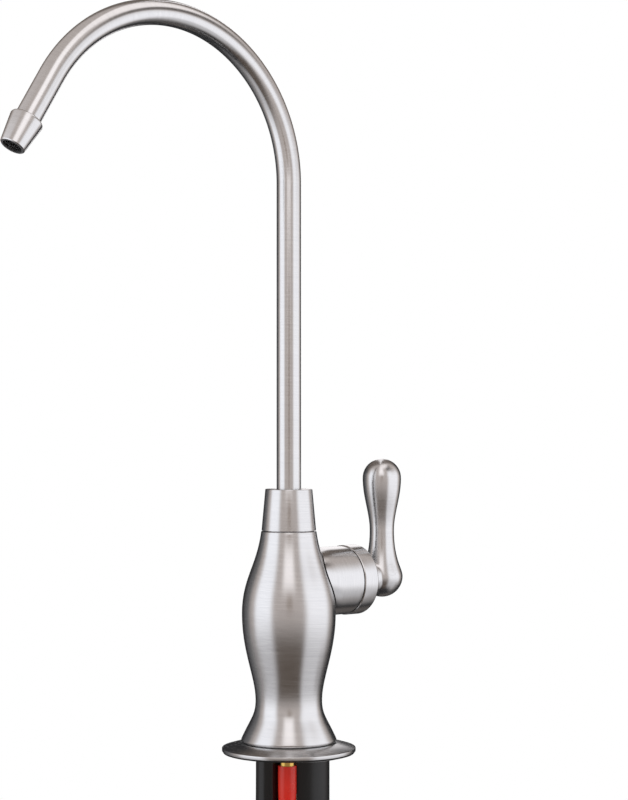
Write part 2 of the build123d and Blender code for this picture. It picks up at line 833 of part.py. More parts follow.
def lever_form():
    lowest = bulb_height - bulb_radius
    top = head_height + head_radius
    return turned(
        RadiusArc((0, lowest), (bulb_radius, bulb_height), -bulb_radius),
        Bezier(
            (bulb_radius, bulb_height),
            (bulb_radius, bulb_height + bulb_pull_share * lever_waist_rise),
            (lever_waist_radius, lever_waist_height - lever_waist_low_pull_share * lever_waist_rise),
            (lever_waist_radius, lever_waist_height),
        ),
        Bezier(
            (lever_waist_radius, lever_waist_height),
            (lever_waist_radius, lever_waist_height + lever_waist_high_pull_share * head_rise),
            (head_radius, head_height - head_pull_share * head_rise),
            (head_radius, head_height),
        ),
        RadiusArc((head_radius, head_height), (0, top), -head_radius),
        Line((0, top), (0, lowest)),
    )


def hub_form():
    return turned(
        Polyline(
            (neck_radius, neck_reach),
            (neck_radius, lever_offset),
            (0, lever_offset),
            (0, hub_start),
            (hub_radius - hub_edge, hub_start),
            (hub_radius, hub_start + hub_edge),
            (hub_radius, hub_end - hub_outer_edge),
        ),
        RadiusArc(
            (hub_radius, hub_end - hub_outer_edge), (hub_radius - hub_outer_edge, hub_end), -hub_outer_edge
        ),
        Line((hub_radius - hub_outer_edge, hub_end), (neck_root_radius, hub_end)),
        Bezier((neck_root_radius, hub_end), (neck_radius, hub_end), (neck_radius, neck_reach)),
    )


def lever_handle():
    handle = along_valve(hub_form()) + Pos(lever_offset, 0, 0) * lever_form()
    handle -= along_valve(rod(hub_cavity_radius, hub_start - cut_over, hub_start + hub_cavity_depth))
    handle -= along_valve(rod(spindle_end_radius + screwed_gap, hub_start, spindle_end + screwed_gap))
    plug_low = bulb_radius - plug_sink - plug_thickness
    handle -= grub_screw_axis() * rod(grub_screw_radius + screwed_gap, 0, plug_low)
    return handle - grub_screw_axis() * rod(plug_radius, plug_low, bulb_radius + cut_over)


def grub_screw():
    low = spindle_end_radius - spindle_flat_depth + screwed_gap
    high = low + grub_screw_length
    screw = rod(grub_screw_radius, low, high)
    socket = Pos(0, 0, high - grub_screw_socket_depth) * extrude(
        RegularPolygon(grub_screw_socket_radius, 6), grub_screw_socket_depth + cut_over
    )
    return grub_screw_axis() * (screw - socket)


def screw_plug():
    plug_low = bulb_radius - plug_sink - plug_thickness
    plug = rod(plug_radius - screwed_gap, plug_low, bulb_radius)
    bulb = Pos(lever_offset, 0, bulb_height) * Sphere(bulb_radius - plug_sink)
    return (grub_screw_axis() * plug) & bulb


def slotted_washer():
    middle = Pos(shank_offset - slotted_washer_shift, 0, 0)
    washer = middle * rod(slotted_washer_radius, spacer_top, slotted_washer_top)
    washer -= shank_x * rod(shank_radius + loose_gap, spacer_top - cut_over, slotted_washer_top + cut_over)
    slot_end = shank_offset - shank_radius - loose_gap
    slot = block(
        (-slotted_washer_radius, -slotted_washer_slot_half, spacer_top - cut_over),
        (slot_end, slotted_washer_slot_half, slotted_washer_top + cut_over),
    )
    throat = block(
        (0, -shank_radius - loose_gap, spacer_top - cut_over),
        (shank_offset, shank_radius + loose_gap, slotted_washer_top + cut_over),
    )
    return washer - slot - throat


def spacer_sleeve():
    flat_radius = spacer_radius - spacer_edge
    edge_top = lock_washer_top + spacer_edge
    sleeve = turned(
        Line((spacer_bore_radius, spacer_top), (spacer_radius, spacer_top)),
        Line((spacer_radius, spacer_top), (spacer_radius, edge_top)),
        RadiusArc((spacer_radius, edge_top), (flat_radius, lock_washer_top), spacer_edge),
        Line((flat_radius, lock_washer_top), (spacer_bore_radius, lock_washer_top)),
        Line((spacer_bore_radius, lock_washer_top), (spacer_bore_radius, spacer_top)),
    )
    slot = block(
        (-spacer_radius - cut_over, -spacer_slot_half, lock_washer_top - cut_over),
        (0, spacer_slot_half, spacer_top + cut_over),
    )
    return shank_x * (sleeve - slot)


def lock_washer():
    washer = rod(lock_washer_radius, nut_top, lock_washer_top)
    washer += block(
        (0, -lock_washer_tab_width / 2, nut_top),
        (lock_washer_radius + lock_washer_tab_length, lock_washer_tab_width / 2, lock_washer_top),
    )
    hole = rod(shank_radius + loose_gap, nut_top - cut_over, lock_washer_top + cut_over)
    return shank_x * (washer - hole)


def chamfered_hexagon(across_flats, low, high, edge):
    """A hexagon with its corners turned off at both ends, as on a nut."""
    corner = across_flats / math.sqrt(3)
    prism = Pos(0, 0, low) * extrude(RegularPolygon(across_flats / 2, 6, major_radius=False), high - low)
    flat = across_flats / 2
    turned_off = turned_polygon(
        (0, low),
        (flat, low),
        (corner, low + edge),
        (corner, high - edge),
        (flat, high),
        (0, high),
    )
    return prism & turned_off


def mounting_nut():
    nut = chamfered_hexagon(nut_across_flats, nut_top - nut_height, nut_top, nut_chamfer)
    nut -= rod(shank_radius + running_gap, nut_top - nut_height - cut_over, nut_top + cut_over)
    return shank_x * nut


def connector_body():
    hexagon = chamfered_hexagon(
        connector_hex_across_flats, connector_shoulder_top, connector_top, nut_chamfer
    )
    lower = turned_polygon(
        (0, connector_shoulder_top),
        (connector_hex_across_flats / 2 - nut_chamfer, connector_shoulder_top),
        (connector_neck_radius, connector_neck_top),
        (connector_neck_radius, connector_ring_top),
        (connector_ring_radius, connector_ring_top),
        (connector_ring_radius, connector_cap_top),
        (0, connector_cap_top),
    )
    body = hexagon + lower
    shank_socket_bottom = shank_bottom - connector_seal_thickness
    body -= rod(shank_radius + screwed_gap, shank_socket_bottom, connector_top + cut_over)
    body -= rod(supply_tube_bore_radius, connector_cap_top - cut_over, shank_bottom)
    body -= rod(supply_tube_radius + face_gap, connector_cap_top - cut_over, tube_stop)
    return shank_x * body


def connector_seal():
    low = shank_bottom - connector_seal_thickness
    return shank_x * ring(shank_radius, shank_bore_radius, low, shank_bottom)


def connector_cap():
    taper_top = connector_cap_bottom + connector_cap_taper_height
    inner = connector_cap_radius - connector_cap_wall
    cap = turned(
        Polyline(
            (connector_cap_mouth_radius, connector_cap_bottom),
            (0, connector_cap_bottom),
            (0, connector_cap_top),
            (connector_cap_radius, connector_cap_top),
            (connector_cap_radius, taper_top),
        ),
        Bezier(
            (connector_cap_radius, taper_top),
            (connector_cap_radius, connector_cap_bottom),
            (connector_cap_mouth_radius, connector_cap_bottom),
        ),
    )
    cap -= rod(collet_radius + face_gap, connector_cap_bottom - cut_over, connector_cap_top + cut_over)
    pocket_bottom = connector_cap_top - 2 * connector_o_ring_section_radius
    pocket = rod(inner, pocket_bottom, connector_cap_top + cut_over)
    return shank_x * (cap - pocket)


def connector_o_ring():
    centre = supply_tube_radius + face_gap / 2 + connector_o_ring_section_radius
    return shank_x * o_ring(
        centre, connector_o_ring_section_radius, connector_cap_top - connector_o_ring_section_radius
    )


def connector_collet():
    top = collet_bottom + collet_length
    collet = rod(collet_radius, collet_bottom, top)
    collet += rod(collet_radius + collet_flange_width, collet_bottom, collet_bottom + collet_flange_height)
    collet -= rod(supply_tube_radius + running_gap, collet_bottom - cut_over, top + cut_over)
    return shank_x * collet


def hose(name, points, radius, bore):
    """A hose along straight runs joined by tangent arcs, each as large as its two runs allow."""
    places = [Vector(*point) for point in points]
    runs = [b - a for a, b in zip(places, places[1:])]
    radii = []
    for before, after in zip(runs, runs[1:]):
        half_turn = math.radians(before.get_angle(after)) / 2
        radii.append(arc_run_share * min(before.length, after.length) / math.tan(half_turn))
    path = FilletPolyline(*places, radius=radii)
    start = Plane(origin=path @ 0, z_dir=path % 0)
    outer = sweep(start * Circle(radius), path)
    tube = outer - sweep(start * Circle(bore), path)
    section = math.pi * (radius**2 - bore**2)
    ratio = tube.volume / section / path.length
    print(name, "length", round(path.length, 1), "volume ratio", round(ratio, 5))
    print(name, "radii", [round(value) for value in radii])
    return tube


def hose_route(place, top, first_run, rest):
    """The first run hangs straight down from where the hose is held."""
    return [(*place, top), (*place, top - first_run)] + rest


def supply_tube():
    route = hose_route((shank_offset, 0), tube_stop, supply_first_run, supply_route_rest)
    return hose("supply_tube", route, supply_tube_radius, supply_tube_bore_radius)


def waste_tube():
    top = foot_block_lift - waste_stub_showing
    route = hose_route(waste_place, top, waste_first_run, waste_route_rest)
    return hose("waste_tube", route, waste_tube_radius, waste_tube_bore_radius)


def drain_tube():
    top = foot_block_lift - drain_stub_showing
    route = hose_route(drain_place, top, drain_first_run, drain_route_rest)
    return hose("drain_tube", route, drain_tube_radius, drain_tube_bore_radius)


pieces = [
    base_plate,
    base_gasket,
    body_shell,
    foot_block,
    shank,
    supply_riser,
    waste_barb,
    waste_riser,
    drain_spigot,
    air_gap_funnel,
    valve_block,
    spout_collar,
    spout_bush,
    spout_spigot,
    spout_o_rings,
    spout_tube,
    spout_tip,
    valve_sleeve,
    cartridge_body,
    cartridge_seal,
    fixed_disc,
    moving_disc,
    valve_spindle,
    spindle_o_rings,
    spindle_clip,
    bonnet_nut,
    lever_handle,
    grub_screw,
    screw_plug,
    slotted_washer,
    spacer_sleeve,
    lock_washer,
    mounting_nut,
    connector_body,
    connector_seal,
    connector_cap,
    connector_o_ring,
    connector_collet,
    supply_tube,
    waste_tube,
    drain_tube,
]

os.makedirs("parts", exist_ok=True)
for piece in pieces:
    export_step(piece(), f"parts/{piece.__name__}.step")
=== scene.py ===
import math
import bmesh
import bpy
import numpy as np
from mathutils import Matrix, Vector


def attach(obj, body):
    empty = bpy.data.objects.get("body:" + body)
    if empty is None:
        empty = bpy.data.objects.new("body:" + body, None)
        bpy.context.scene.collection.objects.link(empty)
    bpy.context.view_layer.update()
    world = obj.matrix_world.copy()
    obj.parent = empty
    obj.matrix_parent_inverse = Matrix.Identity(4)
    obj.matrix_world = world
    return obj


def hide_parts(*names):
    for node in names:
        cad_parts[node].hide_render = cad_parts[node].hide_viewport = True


# Drinking water filter tap in brushed nickel, with the clamp parts and three hoses that hang under its deck.
# Sizes in the dictionaries are millimetres, angles are degrees and colours are sRGB hex.

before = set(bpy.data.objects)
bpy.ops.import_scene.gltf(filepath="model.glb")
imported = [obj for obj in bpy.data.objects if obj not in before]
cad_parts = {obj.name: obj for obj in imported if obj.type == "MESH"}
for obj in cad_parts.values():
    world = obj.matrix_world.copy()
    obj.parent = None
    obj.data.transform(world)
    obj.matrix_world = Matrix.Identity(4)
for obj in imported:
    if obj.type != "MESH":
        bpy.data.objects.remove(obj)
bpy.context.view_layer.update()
mm = 0.001
print("frame loaded:", len(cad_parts), "nodes")


def linked(name, data):  # a new object, put in the scene
    obj = bpy.data.objects.new(name, data)
    bpy.context.scene.collection.objects.link(obj)
    return obj


# Camera: level, in front of the tap and to its left, as the photograph was taken
cameraSettings = dict(bearing=-40.0, distance=850.0, height=137.0, lens=98.3, sensor=36.0, turnRight=0.66)


def roundTap(bearing, distance, height):  # a place seen from the tap, bearing 0 being the front
    angle = math.radians(bearing)
    return Vector((math.sin(angle) * distance, -math.cos(angle) * distance, height)) * mm


def makeCamera(s):
    data = bpy.data.cameras.new("camera")
    data.lens = s["lens"]
    data.sensor_width = s["sensor"]
    camera = linked("camera", data)
    camera.location = roundTap(s["bearing"], s["distance"], s["height"])
    camera.rotation_euler = (math.radians(90), 0, math.radians(s["bearing"] - s["turnRight"]))
    bpy.context.scene.camera = camera
    print("camera stands", round(s["distance"]), "mm from the tap")


makeCamera(cameraSettings)


# Nodes and colours, shared by the materials and the stage

def toLinear(hexColour):
    values = [int(hexColour[i:i + 2], 16) / 255 for i in (1, 3, 5)]
    return tuple(v / 12.92 if v <= 0.04045 else ((v + 0.055) / 1.055) ** 2.4 for v in values) + (1.0,)


def addNode(tree, kind, inputs=None, **settings):
    node = tree.nodes.new(kind)
    for name, value in settings.items():
        setattr(node, name, value)
    for key, value in (inputs or {}).items():
        if isinstance(value, bpy.types.NodeSocket):
            tree.links.new(value, node.inputs[key])
        else:
            node.inputs[key].default_value = value
    return node


def newMaterial(name):
    material = bpy.data.materials.new(name)
    material.use_nodes = True
    material.node_tree.nodes.clear()
    return material, material.node_tree


# Shapes: outlines are lists of (radius, height), spun about an axis or along a bent line

handleHeight = 65.5
shankOffset = 6.8
uprightAxis = Matrix.Identity(4)
shankAxis = Matrix.Translation((shankOffset, 0, 0))
layDown = Matrix(((0, 0, 1, 0), (1, 0, 0, 0), (0, 1, 0, 0), (0, 0, 0, 1)))  # heights become places along X
valveAxis = Matrix.Translation((0, 0, handleHeight)) @ layDown
sharpAngle = 34.0
tiny = 1e-6  # shorter than this counts as nothing
cornerFrom = 14.0  # softer bends in an outline keep their points
cornerShare = 0.45  # of each neighbouring stretch, at most, goes into a rounded corner


def arcPoints(centre, radius, start, end, steps=8):
    angles = [math.radians(start + (end - start) * i / steps) for i in range(steps + 1)]
    return [(centre[0] + radius * math.cos(a), centre[1] + radius * math.sin(a)) for a in angles]


def bezierPoints(a, b, c, d, steps=28):
    points = []
    for i in range(steps + 1):
        t = i / steps
        w = ((1 - t) ** 3, 3 * t * (1 - t) ** 2, 3 * t * t * (1 - t), t ** 3)
        points.append(tuple(sum(w[k] * p[j] for k, p in enumerate((a, b, c, d))) for j in (0, 1)))
    return points


def chain(*stretches):  # joins stretches of an outline and drops points that repeat
    points = []
    for stretch in stretches:
        for point in stretch:
            if not points or math.dist(point, points[-1]) > tiny:
                points.append(tuple(point))
    return points


def eased(points, radius, closed=True, steps=3):  # every real corner gets a small rounded edge
    made = []
    count = len(points)
    for i, point in enumerate(points):
        here = Vector(point)
        back = Vector(points[i - 1]) - here
        ahead = Vector(points[(i + 1) % count]) - here
        turn = math.pi - back.angle(ahead)
        if (not closed and i in (0, count - 1)) or turn < math.radians(cornerFrom):
            made.append(tuple(here))
            continue
        reach = min(radius * math.tan(turn / 2), back.length * cornerShare, ahead.length * cornerShare)
        start = here + back.normalized() * reach
        end = here + ahead.normalized() * reach
        for k in range(steps + 1):
            t = k / steps
            made.append(tuple(start * (1 - t) ** 2 + here * 2 * t * (1 - t) + end * t * t))
    return made


def noteGrain(mesh, turning, grain):  # each point's place about its axis, and the brushing's direction
    for label, values in (("turning", turning), ("grain", grain)):
        layer = mesh.attributes.get(label) or mesh.attributes.new(label, "FLOAT_VECTOR", "POINT")
        layer.data.foreach_set("vector", np.array(values, dtype=np.float32).ravel())


def newObject(name, points, faces, turning=None, grain=None):
    mesh = bpy.data.meshes.new(name)
    mesh.from_pydata((np.array([tuple(p) for p in points]) * mm).tolist(), [], faces)
    work = bmesh.new()
    work.from_mesh(mesh)
    bmesh.ops.recalc_face_normals(work, faces=work.faces)
    work.to_mesh(mesh)
    work.free()
    if turning:
        noteGrain(mesh, turning, grain)
    return linked(name, mesh)


def spun(name, outline, place=uprightAxis, closed=True, steps=160):
    # place is one axis, or gives an axis for each height, so that the outline can follow a bend
    points, rows, turning, grain = [], [], [], []
    for radius, height in outline:
        at = place(height) if callable(place) else place @ Matrix.Translation((0, 0, height))
        ring = 1 if radius < tiny else steps
        rows.append([len(points) + k % ring for k in range(steps)])
        for k in range(ring):
            angle = 2 * math.pi * k / steps
            points.append(at @ Vector((radius * math.cos(angle), radius * math.sin(angle), 0)))
            turning.append((height * mm, radius * mm, 0))
            grain.append(at.to_3x3() @ Vector((-math.sin(angle), math.cos(angle), 0)))
    faces = []
    for low, high in list(zip(rows, rows[1:])) + ([(rows[-1], rows[0])] if closed else []):
        for k in range(steps):
            corners = [low[k], low[(k + 1) % steps], high[(k + 1) % steps], high[k]]
            corners = list(dict.fromkeys(corners))
            if len(corners) > 2:
                faces.append(corners)
    return newObject(name, points, faces, turning, grain)


def rod(name, radius, low, high, place=uprightAxis, steps=96):
    return spun(name, [(0, low), (radius, low), (radius, high), (0, high)], place, closed=False, steps=steps)


def prism(name, outline, low, high, place=uprightAxis):  # outline in (x, y)
    count = len(outline)
    points = [place @ Vector((x, y, z)) for z in (low, high) for x, y in outline]
    faces = [list(range(count))[::-1], list(range(count, 2 * count))]
    faces += [[i, (i + 1) % count, (i + 1) % count + count, i + count] for i in range(count)]
    return newObject(name, points, faces)


def evaluated(obj):
    bpy.context.view_layer.update()
    return bpy.data.meshes.new_from_object(obj.evaluated_get(bpy.context.evaluated_depsgraph_get()))


def applied(obj):  # turns an object's modifiers into its mesh
    ready = evaluated(obj)
    obj.modifiers.clear()
    obj.data = ready
    return obj


def combined(obj, other, how):  # how is DIFFERENCE, INTERSECT or UNION
    step = obj.modifiers.new("combined", "BOOLEAN")
    step.operation = how
    step.solver = "EXACT"
    step.object = other
    applied(obj)
    bpy.data.objects.remove(other)
    return obj


def bevelled(obj, width, segments, angle):
    step = obj.modifiers.new("bevel", "BEVEL")
    step.width = width * mm
    step.segments = segments
    step.limit_method = "ANGLE"
    step.angle_limit = math.radians(angle)
    step.harden_normals = False
    return applied(obj)


def grained(obj, place):  # measures every point of a mesh from its turning axis, for the brushed finishes
    toMetres, toMillimetres = Matrix.Diagonal((mm, mm, mm, 1)), Matrix.Diagonal((1 / mm, 1 / mm, 1 / mm, 1))
    inverse = (toMetres @ place @ toMillimetres).inverted()
    mesh = obj.data
    turning, grain = [], []
    for vertex in mesh.vertices:
        p = inverse @ vertex.co
        radius = math.hypot(p.x, p.y)
        turning.append((p.z, radius, 0))
        grain.append(place.to_3x3() @ (Vector((-p.y, p.x, 0)) / max(radius, tiny * mm)))
    noteGrain(mesh, turning, grain)
    return obj


def finished(obj, body, material, slot, *replaced):
    mesh = obj.data
    mesh.materials.clear()
    mesh.materials.append(material)
    mesh.shade_smooth()
    mesh.set_sharp_from_angle(angle=math.radians(sharpAngle))
    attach(obj, body)
    if replaced:
        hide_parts(*replaced)


# Hoses: routes chosen from how the three hang, the same as the solids'

supplyHose = dict(
    route=[
        (6.8, 0.0, -93.6), (6.8, 0.0, -121.6), (8.4, 0.3, -153.0), (11.6, 0.7, -186.0), (14.6, 0.8, -219.0),
        (16.4, 0.5, -250.0),
    ],
    radius=3.175, bore=2.15, length=156.8, swell=0.0, grip=0.0,
)
wasteHose = dict(
    route=[
        (-4.914, -4.914, -4.0), (-4.914, -4.914, -38.0), (-5.6, -5.7, -73.0), (-5.2, -7.1, -109.0),
        (-2.7, -8.7, -145.0), (0.9, -9.9, -181.0), (3.6, -10.4, -217.0), (5.0, -10.3, -250.0),
    ],
    radius=3.175, bore=2.15, length=246.5, swell=0.4, grip=12.0,
)
drainHose = dict(
    route=[
        (-7.206, 3.913, -1.0), (-7.206, 3.913, -36.0), (-9.0, 4.6, -72.0), (-9.5, 5.6, -108.0),
        (-7.4, 6.9, -144.0), (-3.8, 8.1, -181.0), (-1.0, 8.9, -217.0), (0.2, 9.2, -250.0),
    ],
    radius=4.7625, bore=3.175, length=249.5, swell=0.0, grip=0.0,
)
hoseSettings = dict(
    boreDepth=14.0, cutEdge=0.25, outerCut=0.6, innerCut=0.4,  # the last two are shares of cutEdge
    gripPast=5.0, gripFade=8.0, steps=56, stationEvery=2.5,
)


def smoothLine(route):  # the route's own spline, read as points
    curve = bpy.data.curves.new("route", "CURVE")
    curve.dimensions = "3D"
    spline = curve.splines.new("NURBS")
    spline.points.add(len(route) - 1)
    for point, place in zip(spline.points, route):
        point.co = (*(Vector(place) * mm), 1.0)
    spline.order_u = 3
    spline.use_endpoint_u = True
    spline.resolution_u = 24
    holder = linked("route", curve)
    points = [vertex.co.copy() for vertex in evaluated(holder).vertices]
    bpy.data.objects.remove(holder)
    return points


def followLine(points):  # gives the axis at any distance along a line, without twist
    places = [Vector(p) / mm for p in points]
    lengths = [0.0]
    for a, b in zip(places, places[1:]):
        lengths.append(lengths[-1] + (b - a).length)
    tangents = []
    for i in range(len(places)):
        tangents.append((places[min(i + 1, len(places) - 1)] - places[max(i - 1, 0)]).normalized())
    sides = [tangents[0].orthogonal().normalized()]
    for tangent in tangents[1:]:
        sides.append((sides[-1] - tangent * sides[-1].dot(tangent)).normalized())

    def at(distance):
        i = int(np.clip(np.searchsorted(lengths, distance) - 1, 0, len(places) - 2))
        t = (distance - lengths[i]) / (lengths[i + 1] - lengths[i])
        ahead = tangents[i].lerp(tangents[i + 1], min(max(t, 0), 1)).normalized()
        side = sides[i].lerp(sides[i + 1], min(max(t, 0), 1))
        side = (side - ahead * side.dot(ahead)).normalized()
        frameHere = Matrix((side, ahead.cross(side), ahead)).transposed().to_4x4()
        frameHere.translation = places[i].lerp(places[i + 1], t)
        return frameHere

    return at, lengths[-1]


def makeHose(name, s, material, slot):
    line = smoothLine(s["route"])
    at, length = followLine(line)
    k = hoseSettings
    count = max(4, round(length / k["stationEvery"]))
    outside = []
    for i in range(count + 1):
        along = (length - k["cutEdge"]) * i / count
        fade = 0.0
        if s["grip"]:  # stretched over its stub, and back to its own size a little below it
            fade = min(max((s["grip"] + k["gripPast"] - along) / k["gripFade"], 0.0), 1.0)
        outside.append((s["radius"] + s["swell"] * fade * fade * (3 - 2 * fade), along))
    start = [(0.0, 0.0)] if s["grip"] else [(0.0, 0.0), (s["bore"], 0.0)]
    outer, inner, depth = k["cutEdge"] * k["outerCut"], k["cutEdge"] * k["innerCut"], length - k["boreDepth"]
    end = [
        (s["radius"] - outer, length), (s["bore"] + inner, length), (s["bore"], length - k["cutEdge"]),
        (s["bore"], depth), (0.0, depth),
    ]
    hose = spun(name, start + outside + end, at, closed=False, steps=k["steps"])
    finished(hose, "tap_body", material, slot, name.replace("Hose", "_tube"))


# Materials

grit = 0.3  # millimetres between brushing lines: a real belt leaves about 0.06, too fine to show here
perMetre = 1000.0  # turns a pattern's size in millimetres into a texture scale
noiseSpan = (0.3, 0.7)  # nearly all values of a noise lie between these


def brushedNickel(name, roughness=0.24, pull=0.55, depth=0.045):
    # Nickel plate brushed with a fine belt while the piece turned: soft bands of light, drawn out
    # across the lines
    s = dict(
        light="#D5D5D5", dark="#CACACB", fine=perMetre / grit, coarse=perMetre / (grit * 5), coarseShare=0.25,
        around=160.0, wobble=0.03, lineDepth=0.02,
    )
    material, tree = newMaterial(name)
    turning = addNode(tree, "ShaderNodeAttribute", attribute_name="turning")
    grain = addNode(tree, "ShaderNodeAttribute", attribute_name="grain")
    place = addNode(tree, "ShaderNodeTexCoord")
    around = addNode(
        tree, "ShaderNodeVectorMath", {0: place.outputs["Object"], "Scale": s["around"]}, operation="SCALE"
    )
    lines = []
    for scale in (s["fine"], s["coarse"]):
        across = addNode(
            tree, "ShaderNodeVectorMath", {0: turning.outputs["Vector"], "Scale": scale}, operation="SCALE"
        )
        where = addNode(
            tree, "ShaderNodeVectorMath", {0: across.outputs[0], 1: around.outputs[0]}, operation="ADD"
        )
        noise = addNode(
            tree, "ShaderNodeTexNoise",
            {"Vector": where.outputs[0], "Scale": 1.0, "Detail": 2.0, "Roughness": 0.5},
        )
        lines.append(noise.outputs["Fac"])
    mixed = addNode(tree, "ShaderNodeMix", {0: s["coarseShare"], 2: lines[0], 3: lines[1]})
    contrast = addNode(tree, "ShaderNodeMapRange", {0: mixed.outputs[0], 1: noiseSpan[0], 2: noiseSpan[1]})
    tone = addNode(
        tree, "ShaderNodeMix", {0: contrast.outputs[0], 6: toLinear(s["dark"]), 7: toLinear(s["light"])},
        data_type="RGBA",
    )
    rough = addNode(
        tree, "ShaderNodeMapRange",
        {0: contrast.outputs[0], 3: roughness - s["wobble"], 4: roughness + s["wobble"]},
    )
    bump = addNode(
        tree, "ShaderNodeBump",
        {"Strength": depth, "Distance": s["lineDepth"] * mm, "Height": mixed.outputs[0]},
    )
    turn = addNode(
        tree, "ShaderNodeVectorTransform", {0: grain.outputs["Vector"]},
        vector_type="VECTOR", convert_from="OBJECT", convert_to="WORLD",
    )
    shader = addNode(
        tree, "ShaderNodeBsdfPrincipled",
        {
            "Base Color": tone.outputs[2], "Metallic": 1.0, "Roughness": rough.outputs[0],
            "Anisotropic": pull, "Anisotropic Rotation": 0.25,  # light spreads across the lines
            "Tangent": turn.outputs[0], "Normal": bump.outputs[0],
        },
    )
    addNode(tree, "ShaderNodeOutputMaterial", {"Surface": shader.outputs[0]})
    return material


skinDepth = 0.05  # millimetres, at a bump of 1


def plainFinish(name, s):
    # One look for the small parts: a base colour that varies a little, and a fine unevenness from
    # how the part was made
    material, tree = newMaterial(name)
    place = addNode(tree, "ShaderNodeTexCoord")
    where = place.outputs["Object"]
    noise = addNode(
        tree, "ShaderNodeTexNoise",
        {"Vector": where, "Scale": perMetre / s["texture"], "Detail": 4.0, "Roughness": 0.55},
    )
    cloud = addNode(
        tree, "ShaderNodeTexNoise", {"Vector": where, "Scale": perMetre / s["patch"], "Detail": 2.0}
    )
    tone = addNode(
        tree, "ShaderNodeMix", {0: cloud.outputs["Fac"], 6: toLinear(s["dark"]), 7: toLinear(s["light"])},
        data_type="RGBA",
    )
    low, high = s["roughness"]
    rough = addNode(
        tree, "ShaderNodeMapRange",
        {0: noise.outputs["Fac"], 1: noiseSpan[0], 2: noiseSpan[1], 3: low, 4: high},
    )
    bump = addNode(
        tree, "ShaderNodeBump",
        {"Strength": s["bump"], "Distance": skinDepth * mm, "Height": noise.outputs["Fac"]},
    )
    shader = addNode(
        tree, "ShaderNodeBsdfPrincipled",
        {
            "Base Color": tone.outputs[2], "Roughness": rough.outputs[0], "Normal": bump.outputs[0],
            **s["shader"],
        },
    )
    addNode(tree, "ShaderNodeOutputMaterial", {"Surface": shader.outputs[0]})
    return material


nickelBody = brushedNickel("nickel, belt brushed")
nickelTube = brushedNickel("nickel tube, centreless brushed", roughness=0.22, depth=0.05)
nickelValve = brushedNickel("nickel, satin brushed", roughness=0.2, depth=0.02)
brass = plainFinish("brass, machined", dict(
    # Bright bar brass straight from the lathe: yellow, sharp highlights, faint tool marks
    dark="#D9AE55", light="#EBC877", texture=0.5, patch=6.0, roughness=(0.16, 0.26), bump=0.1,
    shader={"Metallic": 1.0},
))
polishedSteel = plainFinish("stainless sheet, polished", dict(
    # Stamped sheet polished to a mirror: shows its neighbours, with a few soft wipes
    dark="#D8D8D9", light="#E6E6E6", texture=3.0, patch=12.0, roughness=(0.05, 0.1), bump=0.02,
    shader={"Metallic": 1.0},
))
platedSteel = plainFinish("steel, nickel plated", dict(
    # Turned steel under thin nickel: bright, slightly warm, a little uneven
    dark="#C2BEB4", light="#DAD6CC", texture=0.6, patch=5.0, roughness=(0.2, 0.32), bump=0.12,
    shader={"Metallic": 1.0},
))
springSteel = plainFinish("spring stainless, bright rolled", dict(
    # Thin rolled stock: grey and fairly bright
    dark="#B9B9B8", light="#CFCFCE", texture=0.8, patch=4.0, roughness=(0.22, 0.3), bump=0.06,
    shader={"Metallic": 1.0},
))
nitrile = plainFinish("nitrile rubber, moulded", dict(
    # Moulded rubber: nearly black, matt with a broad soft sheen
    dark="#101011", light="#1A1A1B", texture=0.4, patch=8.0, roughness=(0.5, 0.62), bump=0.25,
    shader={"Specular IOR Level": 0.4},
))
blackAcetal = plainFinish("acetal, moulded black", dict(
    # Glass-smooth tool, satin skin: black with a soft clear highlight
    dark="#0E0E0F", light="#171718", texture=0.9, patch=10.0, roughness=(0.28, 0.38), bump=0.08,
    shader={"IOR": 1.48},
))
milkyAcetal = plainFinish("acetal, moulded natural", dict(
    # Natural acetal: milky white, light goes a little way in, satin from the tool
    dark="#ECE5D8", light="#F6F1E7", texture=0.9, patch=9.0, roughness=(0.3, 0.4), bump=0.06,
    shader={"IOR": 1.48, "Subsurface Weight": 0.25, "Subsurface Radius": (0.004, 0.0035, 0.003)},
))
alumina = plainFinish("alumina, lapped", dict(
    # Fired and lapped ceramic: off-white, smooth as glass
    dark="#E8E4DB", light="#F3F0E9", texture=0.6, patch=5.0, roughness=(0.12, 0.18), bump=0.02,
    shader={"IOR": 1.76},
))
bluePipe = plainFinish("polyethylene, extruded blue", dict(
    # Extruded tube: deep even colour, waxy gloss with faint drawing waves
    dark="#0A459C", light="#1558B6", texture=6.0, patch=20.0, roughness=(0.2, 0.3), bump=0.1,
    shader={"IOR": 1.51, "Subsurface Weight": 0.1, "Subsurface Radius": (0.001, 0.002, 0.004)},
))
redPipe = plainFinish("polyethylene, extruded red", dict(
    # The same tube in red: a bright warm red that stays clean in the shade
    dark="#CE2016", light="#E63424", texture=6.0, patch=20.0, roughness=(0.2, 0.3), bump=0.1,
    shader={"IOR": 1.51, "Subsurface Weight": 0.1, "Subsurface Radius": (0.004, 0.001, 0.001)},
))
blackPipe = plainFinish("polyethylene, extruded black", dict(
    # The drain tube: glossy black with long clear highlights
    dark="#0B0B0C", light="#131314", texture=6.0, patch=20.0, roughness=(0.16, 0.26), bump=0.1,
    shader={"IOR": 1.51},
))
print("materials made:", len(bpy.data.materials))


makeHose("supplyHose", supplyHose, bluePipe, "blue_tube")
makeHose("wasteHose", wasteHose, redPipe, "red_tube")
makeHose("drainHose", drainHose, blackPipe, "black_tube")
print("hoses hung")


# Base plate and gasket

basePlate = dict(
    bore=16.5, radius=26.0, rimLow=0.6, rimHigh=2.0, landRadius=19.0, landHeight=4.0, recessRadius=23.8,
    recessTop=1.2, edge=0.3,
)
baseGasket = dict(padRadius=23.77, skirtRadius=25.6, gap=0.02)


